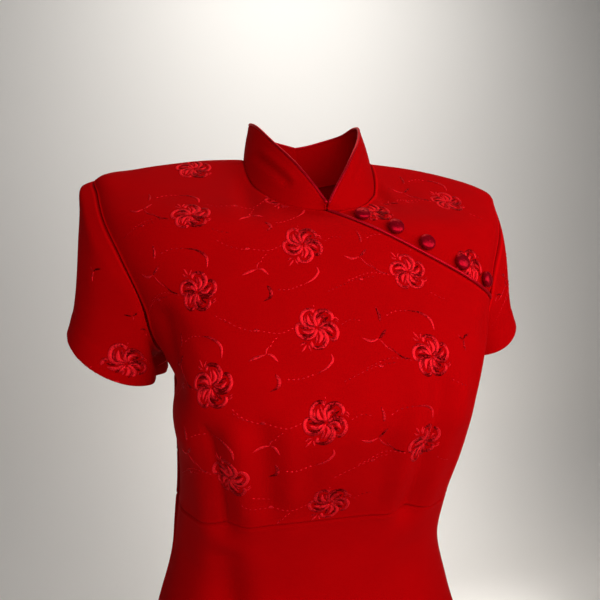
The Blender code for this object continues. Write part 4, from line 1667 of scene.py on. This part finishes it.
EVEN_UNIT = (
    Stroke(Stitch.RUN, ((-18, 0), (-29, -4), (-43, -2)), 1.0, 0.95),
    Stroke(Stitch.LEAF, ((-43.6, -2), (-46, -1.2), (-48.4, -2)), 2.6, 0.8),
    Stroke(Stitch.RUN, ((-49, -2), (-61, 2), (-71, 9)), 1.0, 0.7),
    Stroke(Stitch.RUN, ((-31, -7), (-35, -11), (-37, -16)), 1.0, 0.95),
    Stroke(Stitch.LEAF, ((-53, -25), (-47, -22.4), (-40, -20)), 2.5, 0.9),
    Stroke(Stitch.LEAF, ((-40, -20), (-36, -20.8), (-31.5, -26)), 2.3, 0.7),
    Stroke(Stitch.LEAF, ((-40, -20), (-39.6, -16.6), (-37.5, -14)), 1.3, 0.6),
    Stroke(Stitch.COMMA, ((-34, -35), (-31.6, -40), (-32.8, -45), (-39, -48.4)), 3.0, 0.05),
    Stroke(Stitch.RUN, ((-26, -39.4), (-16, -39.4), (-5, -36)), 1.38, 1.0),
    Stroke(Stitch.COMMA, ((8, -21), (8.8, -26), (3.6, -32), (-5, -36.4)), 2.2, 0.8),
    Stroke(Stitch.RUN, ((-1, 14), (-1.4, 20)), 0.88, 0.65),
    Stroke(Stitch.RUN, ((19, 2), (27, 6), (36, 5)), 0.88, 0.6),
)
ODD_UNIT = (
    Stroke(Stitch.RUN, ((-18, 4), (-36, 3), (-57, 12)), 1.0, 0.9),
    Stroke(Stitch.RUN, ((-32, 6), (-49, 10), (-75, 23)), 1.0, 0.65),
    Stroke(Stitch.COMMA, ((-19, 3), (-27, 1), (-36, -7)), 1.3, 0.2),
    Stroke(Stitch.LEAF, ((-42, 9), (-44, 9.6), (-46.4, 9)), 2.4, 0.8),
    Stroke(Stitch.LEAF, ((-57, -12), (-50, -9.6), (-43, -12)), 2.4, 0.85),
    Stroke(Stitch.LEAF, ((-43, -12), (-40, -15), (-36, -20)), 2.2, 0.1),
    Stroke(Stitch.LEAF, ((-43, -12), (-38, -6), (-32, -2)), 1.2, 0.5),
    Stroke(Stitch.COMMA, ((-40, -26), (-40.4, -32), (-43, -39)), 2.4, 0.05),
    Stroke(Stitch.COMMA, ((6, -21), (4, -30), (-5, -35.4), (-16, -36.4)), 2.4, 0.55),
    Stroke(Stitch.RUN, ((-16, -36.4), (-27, -35), (-36, -30)), 1.25, 0.85),
    Stroke(Stitch.RUN, ((18, 18), (26, 22), (34, 24)), 0.88, 0.6),
)
BIRD = (
    Stroke(Stitch.LEAF, ((-9, -3), (-4.6, -0.8), (0, 0)), 2.2, 0.15),
    Stroke(Stitch.LEAF, ((0, 0), (3, -1.4), (7, -6)), 2.0, 0.10),
    Stroke(Stitch.LEAF, ((0, 0), (0.4, 3.2), (2.6, 6)), 1.3, 0.2),
)


ROUTE_POINTS = 60
LEAST_STEPS = 6
DASH_STEPS = 5
DASH_PROFILE = (0.1, 0.7, 1.0, 0.7)


@dataclass(frozen=True)
class Unit:
    """Where one unit of the pattern lies on its ground, and how."""

    across: float
    up: float
    odd: bool = False
    turn: float = 0.0
    flower: bool = True
    trail: bool = True
    scale: float = 1.0


@dataclass(frozen=True)
class Pattern:
    """The strokes of whole units, sampled closely and laid out flat in metres.

    An odd unit is an even one turned over top to bottom, with a trail of its own.
    """

    height: float = 0.00050
    under: float = 0.0004
    dash_pitch: float = 3.9
    band_step: float = 1.5
    leaf_step: float = 1.2
    swirl: float = 1.7
    swirl_radius: float = 9.0
    scale_spread: float = 0.03
    turn_spread: float = 5.0
    # Random shifts of the painted sheen per unit and per stroke, and how strongly a stroke's direction
    # turns it to painted highlight or painted shade.
    sheen_shift_spread: float = 0.15
    painted_sheen_spread: float = 0.2
    least_sheen_by_direction: float = 0.2
    most_sheen_by_direction: float = 0.5

    def strokes(self, spot: Unit) -> list[Stroke]:
        """All strokes of a unit, in millimetres round its flower's centre."""
        made = []
        if spot.flower:
            for angle, painted_sheen in zip(PETAL_ANGLES, PETAL_PAINTED_SHEEN):
                made.append(self.turned(PETAL, angle, painted_sheen))
                made += [self.turned(lobe, angle, painted_sheen + lobe.painted_sheen) for lobe in LOBES]
            made += SPRIG
        if spot.trail:
            made += ODD_UNIT if spot.odd else EVEN_UNIT
        elif not spot.flower:
            made += BIRD
        return made

    def turned(self, stroke: Stroke, angle: float, painted_sheen: float) -> Stroke:
        """A petal's stroke turned round the centre by an angle in degrees.

        The turn lags by swirl degrees for each millimetre further out.
        """
        line = []
        for x, y in stroke.line:
            reach = math.hypot(x, y)
            turn = math.atan2(y, x) + math.radians(angle + self.swirl * (self.swirl_radius - reach))
            line.append((reach * math.cos(turn), reach * math.sin(turn)))
        return Stroke(stroke.stitch, tuple(line), stroke.width, painted_sheen)

    def runs(self, stroke: Stroke) -> list[tuple[Array, Array]]:
        """The pieces of thread that a stroke is made of.

        Args:
            stroke: The stroke.

        Returns:
            For each piece, points along its middle and its half width at each of them.
        """
        route = smooth(stroke.line, np.linspace(0, len(stroke.line) - 1, ROUTE_POINTS))
        length = lengths(route)[-1]
        if stroke.stitch is Stitch.RUN:
            count = max(1, round(length / self.dash_pitch))
            dashes = even(route, DASH_STEPS * count)[:-1].reshape(count, DASH_STEPS, 2)
            half = 0.5 * stroke.width * np.array(DASH_PROFILE)
            return [(dash[: len(half)], half) for dash in dashes]
        step = self.band_step if stroke.stitch is Stitch.BAND else self.leaf_step
        steps = max(LEAST_STEPS, round(length / step))
        share = np.linspace(0, 1, steps + 1)
        ends = np.clip(np.minimum(share, 1 - share) * length / stroke.width * 1.6, 0.08, 1) ** 0.5
        profile = {
            Stitch.BAND: ends,
            Stitch.LEAF: np.clip(np.sin(math.pi * share), 0.05, 1) ** 0.8,
            Stitch.COMMA: np.clip(np.sin(math.pi * share**0.62), 0.05, 1) ** 0.9,
        }[stroke.stitch]
        return [(even(route, steps), 0.5 * stroke.width * profile)]


SECTION = np.array([(-1, 0), (-0.66, 0.72), (0, 1), (0.66, 0.72), (1, 0), (0, -0.8)], float)
END_CAPS = ((3, 2, 1, 0), (5, 4, 3, 0))
END_SHARE = 0.12
THIN_HALF = 0.0008


@dataclass
class FormGround:
    """A bodice panel's worn surface, bounded by its outline seen from the front or back."""

    cloth: Cloth
    outline: Array
    ahead: bool
    margin: float = 0.0016
    halvings: int = 30
    tuck: Callable[[Array], Array] | None = None

    def place(self, centres: Array, offsets: Array, heights: Array) -> Array:
        """Lays flat offsets round centres onto the worn surface.

        Args:
            centres: The x and z of each row's centre.
            offsets: For each row, points across and up, in metres.
            heights: How far each point stands off the cloth.

        Returns:
            Points in space.
        """
        form = self.cloth.form
        middle = form.at_height(centres[:, 0], centres[:, 1], self.ahead)
        normal = form.normals(middle)
        level = unit(np.cross((0.0, 0.0, 1.0), normal))
        upward = np.cross(normal, level)
        spots = middle[:, None] + offsets[..., :1] * level[:, None] + offsets[..., 1:] * upward[:, None]
        spots = form.onto(spots, self.halvings)
        sunk = self.tuck(spots) if self.tuck else 0 * heights
        return self.cloth.worn(spots) + (heights - sunk)[..., None] * form.normals(spots)

    def keeps(self, points: Array) -> Array:
        """Whether points lie on this panel, clear of its seams."""
        same_side = self.cloth.form.is_ahead(points) == self.ahead
        start, end = self.outline, np.roll(self.outline, -1, axis=0)
        spot = points[:, None, [0, 2]]
        spans = (start[:, 1] > spot[..., 1]) != (end[:, 1] > spot[..., 1])
        climb = np.where(end[:, 1] == start[:, 1], 1.0, end[:, 1] - start[:, 1])
        cut = start[:, 0] + (spot[..., 1] - start[:, 1]) / climb * (end[:, 0] - start[:, 0])
        inside = np.sum(spans & (spot[..., 0] < cut), axis=1) % 2 == 1
        run = end - start
        share = np.sum((spot - start) * run, axis=-1) / np.maximum(np.sum(run**2, axis=-1), 1e-12)
        foot = start + np.clip(share, 0, 1)[..., None] * run
        clear = np.linalg.norm(spot - foot, axis=-1).min(axis=1) > self.margin
        return inside & clear & same_side


@dataclass
class GridGround:
    """A sleeve's worn surface, as its grid of points from the armhole seam to the hem.

    A centre is an angle in degrees from the top line and a share of the way down.
    """

    grid: Array
    normals: Array
    edge_row: int = 3
    top_margin: float = 0.0035
    hem_margin: float = 0.0030

    def sample(self, grid: Array, row: Array, column: Array) -> Array:
        """Reads a grid between its points."""
        row = np.clip(row, 0, len(grid) - 1.001)
        first, start = np.floor(row).astype(int), np.floor(column).astype(int)
        down, across = (row - first)[..., None], (column - start)[..., None]
        count = grid.shape[1]
        near, far = start % count, (start + 1) % count
        upper = grid[first, near] * (1 - across) + grid[first, far] * across
        lower = grid[first + 1, near] * (1 - across) + grid[first + 1, far] * across
        return upper * (1 - down) + lower * down

    def place(self, centres: Array, offsets: Array, heights: Array) -> Array:
        """Lays flat offsets round centres onto the sleeve, as FormGround does."""
        column = centres[:, 0] / 360 * self.grid.shape[1]
        row = centres[:, 1] * (len(self.grid) - 1)
        middle = self.sample(self.grid, row, column)
        by_column = (self.sample(self.grid, row, column + 2) - middle) / 2
        by_row = (self.sample(self.grid, row + 2, column) - middle) / 2
        normal = unit(self.sample(self.normals, row, column))
        level = unit(np.cross((0.0, 0.0, 1.0), normal))
        upward = np.cross(normal, level)
        slopes = np.stack(
            [np.sum(step * way, axis=-1) for way in (level, upward) for step in (by_column, by_row)],
            axis=-1,
        ).reshape(-1, 2, 2)
        moves = np.einsum("nij,nkj->nki", np.linalg.inv(slopes), offsets)
        place = row[:, None] + moves[..., 1], column[:, None] + moves[..., 0]
        spots = self.sample(self.grid, *place)
        return spots + heights[..., None] * unit(self.sample(self.normals, *place))

    def keeps(self, points: Array) -> Array:
        """Whether points lie between the armhole seam and the hem."""
        rings = self.grid[self.edge_row, ::2], self.grid[-self.edge_row - 1, ::2]
        top, hem = (np.linalg.norm(points[:, None] - ring, axis=-1).min(axis=1) for ring in rings)
        return (top > self.top_margin) & (hem > self.hem_margin)


@dataclass
class Embroidery:
    """Raised satin-stitch flowers and trails on one panel, cut off at its seams."""

    name: str
    ground: FormGround | GridGround
    units: tuple[Unit, ...]
    pattern: Pattern
    seed: int = 7

    def threads(self) -> list[Array]:
        """Gathers every cross-section of thread, before any is cut away.

        Returns:
            Centres, piece numbers, middle points, directions, half widths and marks.
        """
        pattern = self.pattern
        random = np.random.default_rng(self.seed)
        rows = []
        for spot in self.units:
            scale = MM * spot.scale * (1 + random.uniform(-pattern.scale_spread, pattern.scale_spread))
            angle = math.radians(spot.turn + random.uniform(-pattern.turn_spread, pattern.turn_spread))
            turn = np.array([[math.cos(angle), math.sin(angle)], [-math.sin(angle), math.cos(angle)]])
            # Painted sheen of the unit: a random shift, and how much the stroke's direction changes it.
            sheen_shift = random.uniform(-pattern.sheen_shift_spread, pattern.sheen_shift_spread)
            lean = random.uniform(pattern.least_sheen_by_direction, pattern.most_sheen_by_direction)
            for stroke in pattern.strokes(spot):
                painted_sheen = stroke.painted_sheen + sheen_shift + random.uniform(-pattern.painted_sheen_spread, pattern.painted_sheen_spread)
                for middle, half in pattern.runs(stroke):
                    flat = middle * (1, -1 if spot.odd else 1) @ turn * scale
                    ahead = unit(np.gradient(flat, axis=0))
                    # Painted sheen along the stroke: upright stretches painted brighter as a highlight,
                    # level ones darker as painted shade.
                    wave = np.clip(painted_sheen + lean * (ahead[:, 1] ** 2 - ahead[:, 0] ** 2), 0, 1)
                    place = np.tile((spot.across, spot.up, len(rows)), (len(flat), 1))
                    rows.append(np.column_stack([place, flat, ahead, half * scale, lengths(flat), wave]))
        return np.split(np.concatenate(rows), (2, 3, 5, 7, 8), axis=1)

    def build(self) -> Object:
        """Makes the embroidery as one mesh of domed ribbons."""
        centres, number, middle, ahead, half, marks = self.threads()
        line = self.ground.place(centres, middle[:, None], np.zeros((len(middle), 1)))[:, 0]
        kept = self.ground.keeps(line)
        order = np.flatnonzero(kept)
        linked = (np.diff(order) == 1) & (np.diff(number[order, 0]) == 0)
        starts = np.concatenate([[True], ~linked])
        ends = np.concatenate([~linked, [True]])
        lone = starts & ends
        order, starts, ends = order[~lone], starts[~lone], ends[~lone]
        linked = ~ends[:-1]
        half = half[order, 0] * np.where(starts | ends, END_SHARE, 1.0)
        sideways = np.stack([-ahead[order, 1], ahead[order, 0]], axis=-1)
        offsets = middle[order, None] + (half[:, None] * SECTION[None, :, 0])[..., None] * sideways[:, None]
        dome = self.pattern.height * np.clip(half / THIN_HALF, 0.25, 1.0)
        raised = SECTION[:, 1]
        heights = np.where(raised > 0, dome[:, None] * raised, raised * self.pattern.under)
        points = self.ground.place(centres[order], offsets, heights)
        sides = len(SECTION)
        faces = [cell_faces(np.flatnonzero(linked), sides, True)[:, [0, 3, 2, 1]]]
        for tips, way in ((starts, 1), (ends, -1)):
            for cap in END_CAPS:
                faces.append((np.flatnonzero(tips)[:, None] * sides + np.array(cap))[:, ::way])
        marks = np.repeat(marks[order], sides, axis=0)
        return outward(make_mesh(self.name, points.reshape(-1, 3), np.concatenate(faces), marks))


BACK_COLUMNS = (-0.128, -0.044, 0.042, 0.128)
BACK_ROWS = (-0.028, -0.096, -0.164, -0.232, -0.300)
BACK_DROP = 0.018
BACK_UNITS = tuple(
    Unit(x, z - BACK_DROP * index, odd=index % 2 == 0)
    for index, x in enumerate(BACK_COLUMNS)
    for z in BACK_ROWS
)
FRONT_UNITS = (
    Unit(-0.028, -0.096),
    Unit(-0.023, -0.163),
    Unit(-0.022, -0.231),
    Unit(-0.012, -0.304),
    Unit(-0.038, -0.050, turn=20),
    Unit(-0.119, -0.071, odd=True),
    Unit(-0.115, -0.135, odd=True),
    Unit(-0.104, -0.204, odd=True),
    Unit(-0.091, -0.276, odd=True),
    Unit(-0.118, -0.016, odd=True, trail=False),
    Unit(0.062, -0.119, odd=True),
    Unit(0.069, -0.187, odd=True),
    Unit(0.062, -0.256, odd=True),
    Unit(0.104, -0.176, flower=False, trail=False, turn=70),
)
SHOULDER_UNITS = (
    Unit(0.135, -0.045, odd=True, turn=-15),
    Unit(0.130, -0.113, turn=10, trail=False),
    Unit(0.046, -0.062, odd=True, trail=False),
    Unit(0.070, -0.048, flower=False, trail=False, turn=15),
)
RIGHT_SLEEVE_UNITS = (
    Unit(104.0, 0.79, turn=-10),
    Unit(70.0, 0.37, flower=False, trail=False, turn=60, scale=0.9),
    Unit(105.0, 0.31, flower=False, trail=False, turn=200, scale=0.6),
    Unit(127.0, 0.15, flower=False, trail=False, turn=-40, scale=0.6),
    Unit(322.0, 0.62, odd=True),
    Unit(252.0, 0.72),
)
LEFT_SLEEVE_UNITS = (
    Unit(30.0, 0.66, odd=True),
    Unit(97.0, 0.30, flower=False, trail=False, turn=50, scale=0.7),
    Unit(338.0, 0.30),
    Unit(282.0, 0.72),
)


# ---------------------------------------------------------------- studio


WARM = (1.0, 0.97, 0.94)
COOL = (0.97, 0.98, 1.0)
PALE = (1.0, 0.98, 0.95)
LOW_PALE = (1.0, 0.96, 0.92)


@dataclass(frozen=True)
class Lamp:
    """A soft square light that faces a target."""

    name: str
    place: Spot
    size: float
    power: float
    colour: Colour
    target: Spot = (0.0, 0.0, -0.2)

    def build(self) -> None:
        """Makes the light."""
        data = bpy.data.lights.new(self.name, "AREA")
        data.size = self.size
        data.energy = self.power
        data.color = self.colour
        made = bpy.data.objects.new(self.name, data)
        made.location = self.place
        facing = Vector(self.target) - Vector(self.place)
        made.rotation_euler = facing.to_track_quat("-Z", "Y").to_euler()
        bpy.context.scene.collection.objects.link(made)


LAMPS = (
    Lamp("key", (0.52, -0.95, 0.05), 0.8, 5.2, WARM),
    Lamp("near_key", (0.72, -0.50, 0.00), 0.4, 1.5, WARM),
    Lamp("front", (0.0, -0.85, -0.02), 0.5, 2.0, WARM),
    Lamp("fill", (-0.65, -1.75, 0.00), 1.2, 6.2, COOL),
    Lamp("top", (0.25, 0.30, 1.6), 1.6, 0.6, PALE, (0.0, 0.0, 0.0)),
    Lamp("high_wash", (0.30, 0.50, 1.65), 1.4, 28.0, PALE, (0.45, 1.9, 0.7)),
    Lamp("low_wash", (0.6, 0.90, -1.34), 1.2, 18.0, LOW_PALE, (0.6, 1.9, -0.7)),
)


@dataclass
class Studio:
    """A pale floor and wall, soft light from the upper right, and the camera."""

    floor_height: float = -1.40
    wall_distance: float = 1.9
    wall_height: float = 4.2
    floor_front: float = -3.0
    half_width: float = 4.0
    bend: float = 0.6
    paint: Colour = (0.90, 0.88, 0.85)
    room: Colour = (0.86, 0.88, 0.92)
    room_strength: float = 0.03
    camera_place: Spot = (-0.1063, -0.4750, -0.1338)
    yaw: float = 11.66
    pitch: float = 1.29
    roll: float = 0.30
    lens: float = 27.0
    sensor: float = 36.0
    nearest: float = 0.02

    def build(self) -> None:
        """Makes the floor and wall, the lights, the room's own light and the camera."""
        self.sweep()
        for lamp in LAMPS:
            lamp.build()
        world = bpy.data.worlds.new("room")
        world.use_nodes = True
        glow = world.node_tree.nodes["Background"].inputs
        glow["Color"].default_value = shade(self.room)
        glow["Strength"].default_value = self.room_strength
        bpy.context.scene.world = world
        self.camera()
        bpy.context.scene.view_settings.view_transform = "Standard"

    def sweep(self) -> None:
        """Makes the floor, which bends up into the wall in a quarter circle."""
        turn = np.linspace(0, math.pi / 2, 13)
        back = self.wall_distance - self.bend * (1 - np.sin(turn))
        y = np.concatenate([[self.floor_front], back, [self.wall_distance]])
        z = np.concatenate([[0.0], self.bend * (1 - np.cos(turn)), [self.wall_height]])
        x = np.linspace(-self.half_width, self.half_width, 9)
        floor = z[:, None] + self.floor_height
        grid = np.stack(np.broadcast_arrays(x[None], y[:, None], floor), axis=-1)
        faces = cell_faces(np.arange(len(y) - 1), len(x), False)
        sweep = make_mesh("sweep", grid.reshape(-1, 3), faces[:, ::-1])
        sweep.data.materials.append(Paint("sweep_paint", self.paint).build())

    def camera(self) -> None:
        """Places the camera at chest height, a little to the wearer's right."""
        data = bpy.data.cameras.new("camera")
        data.lens = self.lens
        data.sensor_width = self.sensor
        data.clip_start = self.nearest
        made = bpy.data.objects.new("camera", data)
        turned = (
            Matrix.Rotation(math.radians(-self.yaw), 4, "Z")
            @ Matrix.Rotation(math.radians(90 - self.pitch), 4, "X")
            @ Matrix.Rotation(math.radians(-self.roll), 4, "Z")
        )
        made.matrix_world = Matrix.Translation(self.camera_place) @ turned
        bpy.context.scene.collection.objects.link(made)
        bpy.context.scene.camera = made


# ---------------------------------------------------------------- the dress


BUTTON_SHARES = (0.148, 0.303, 0.458, 0.644, 0.826)


@dataclass(frozen=True)
class Cut:
    """How the sheet of one piece was cut: the box round it laid flat, and its flat area."""

    piece: str
    width: float
    length: float
    area: float
    hangs_from: tuple[str, ...]
    carries: tuple[str, ...] = ()
    held: str = "hung"

    def declare(self) -> None:
        """Does nothing: the cut is only listed here, with the pieces that are sewn on its sheet."""


BUTTONS = tuple(f"covered_button_{number}" for number in range(1, len(BUTTON_SHARES) + 1))
CUTS = (
    Cut("front", 0.44, 0.38, 0.125, ("back", "shoulder_piece"), ("front_embroidery", "placket_cord")),
    Cut("back", 0.42, 0.38, 0.137, ("front", "shoulder_piece"), ("back_embroidery",)),
    Cut("shoulder_piece", 0.19, 0.20, 0.0275, ("back",), ("shoulder_embroidery", *BUTTONS)),
    Cut("skirt_front_panel", 0.46, 0.66, 0.275, ("front",)),
    Cut("skirt_back_panel", 0.47, 0.65, 0.281, ("back",)),
    Cut("right_sleeve", 0.33, 0.16, 0.033, ("front", "back"), ("right_sleeve_embroidery",)),
    Cut("left_sleeve", 0.31, 0.14, 0.0265, ("shoulder_piece", "back"), ("left_sleeve_embroidery",)),
    Cut("stand_collar", 0.37, 0.075, 0.0185, ("front", "back", "shoulder_piece"), ("collar_cord",)),
)


def main() -> None:
    """Builds every piece in order."""
    logging.basicConfig(level=logging.INFO, format="%(name)s: %(message)s")
    form = Form(LEVELS)
    seams = Seams(form)
    cloth = Cloth(form, CREASES)
    crepe = Crepe("crepe").build()
    satin = Satin("satin").build()
    cord = Satin("cord_satin", red=(0.52, 0.0035, 0.013), roughness=0.30).build()
    bodice = Bodice(form, seams, cloth)
    finish(bodice.panel("front", bodice.front_edges), crepe, "bodice_front")
    finish(bodice.panel("back", bodice.back_edges), crepe, "bodice_back")
    finish(bodice.shoulder("shoulder_piece"), crepe, "bodice_shoulder")
    skirt = Skirt(form, seams, cloth)
    finish(skirt.panel("skirt_front_panel", True), crepe, "skirt_front")
    finish(skirt.panel("skirt_back_panel", False), crepe, "skirt_back")
    right = Sleeve(
        "right_sleeve",
        Side.RIGHT,
        seams,
        x=0.1940,
        z=-0.199,
        half_width=0.0425,
        puff=0.150,
        flare=0.36,
        folds=RIGHT_FOLDS,
        square=0.0052,
        lift=0.007,
    )
    left = Sleeve(
        "left_sleeve",
        Side.LEFT,
        seams,
        x=0.1930,
        z=-0.183,
        half_width=0.0400,
        puff=0.045,
        flare=0.62,
        folds=LEFT_FOLDS,
        # The left sleeve's painted seam shade and highlight reach further from the seam.
        painted_seam_light_scale=0.45,
    )
    finish(right.build(), crepe, "sleeve_right")
    finish(left.build(), crepe, "sleeve_left")
    collar = Collar(seams)
    finish(collar.build(), crepe, "collar")
    finish(collar.build_cord(), cord, "collar_piping")
    placket = Placket(seams)
    finish(placket.build_cord(), cord, "placket_piping")
    for number, share in enumerate(BUTTON_SHARES, start=1):
        made = Button(number, share, placket).build()
        finish(made, satin, f"button_{number}")
    thread = Thread("thread").build()
    pattern = Pattern()
    front = bodice.ground(bodice.front_edges, True)
    back = bodice.ground(bodice.back_edges, False)
    shoulder = bodice.ground(bodice.shoulder_edges, True, bodice.tucked)
    for name, ground, units, node in (
        ("front_embroidery", front, FRONT_UNITS, "bodice_front"),
        ("back_embroidery", back, BACK_UNITS, "bodice_back"),
        ("shoulder_embroidery", shoulder, SHOULDER_UNITS, "bodice_shoulder"),
        ("right_sleeve_embroidery", right.ground(), RIGHT_SLEEVE_UNITS, "sleeve_right"),
        ("left_sleeve_embroidery", left.ground(), LEFT_SLEEVE_UNITS, "sleeve_left"),
    ):
        finish(Embroidery(name, ground, units, pattern).build(), thread)
    for cut in CUTS:
        cut.declare()
    Studio().build()


if __name__ == "__main__":
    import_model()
    main()
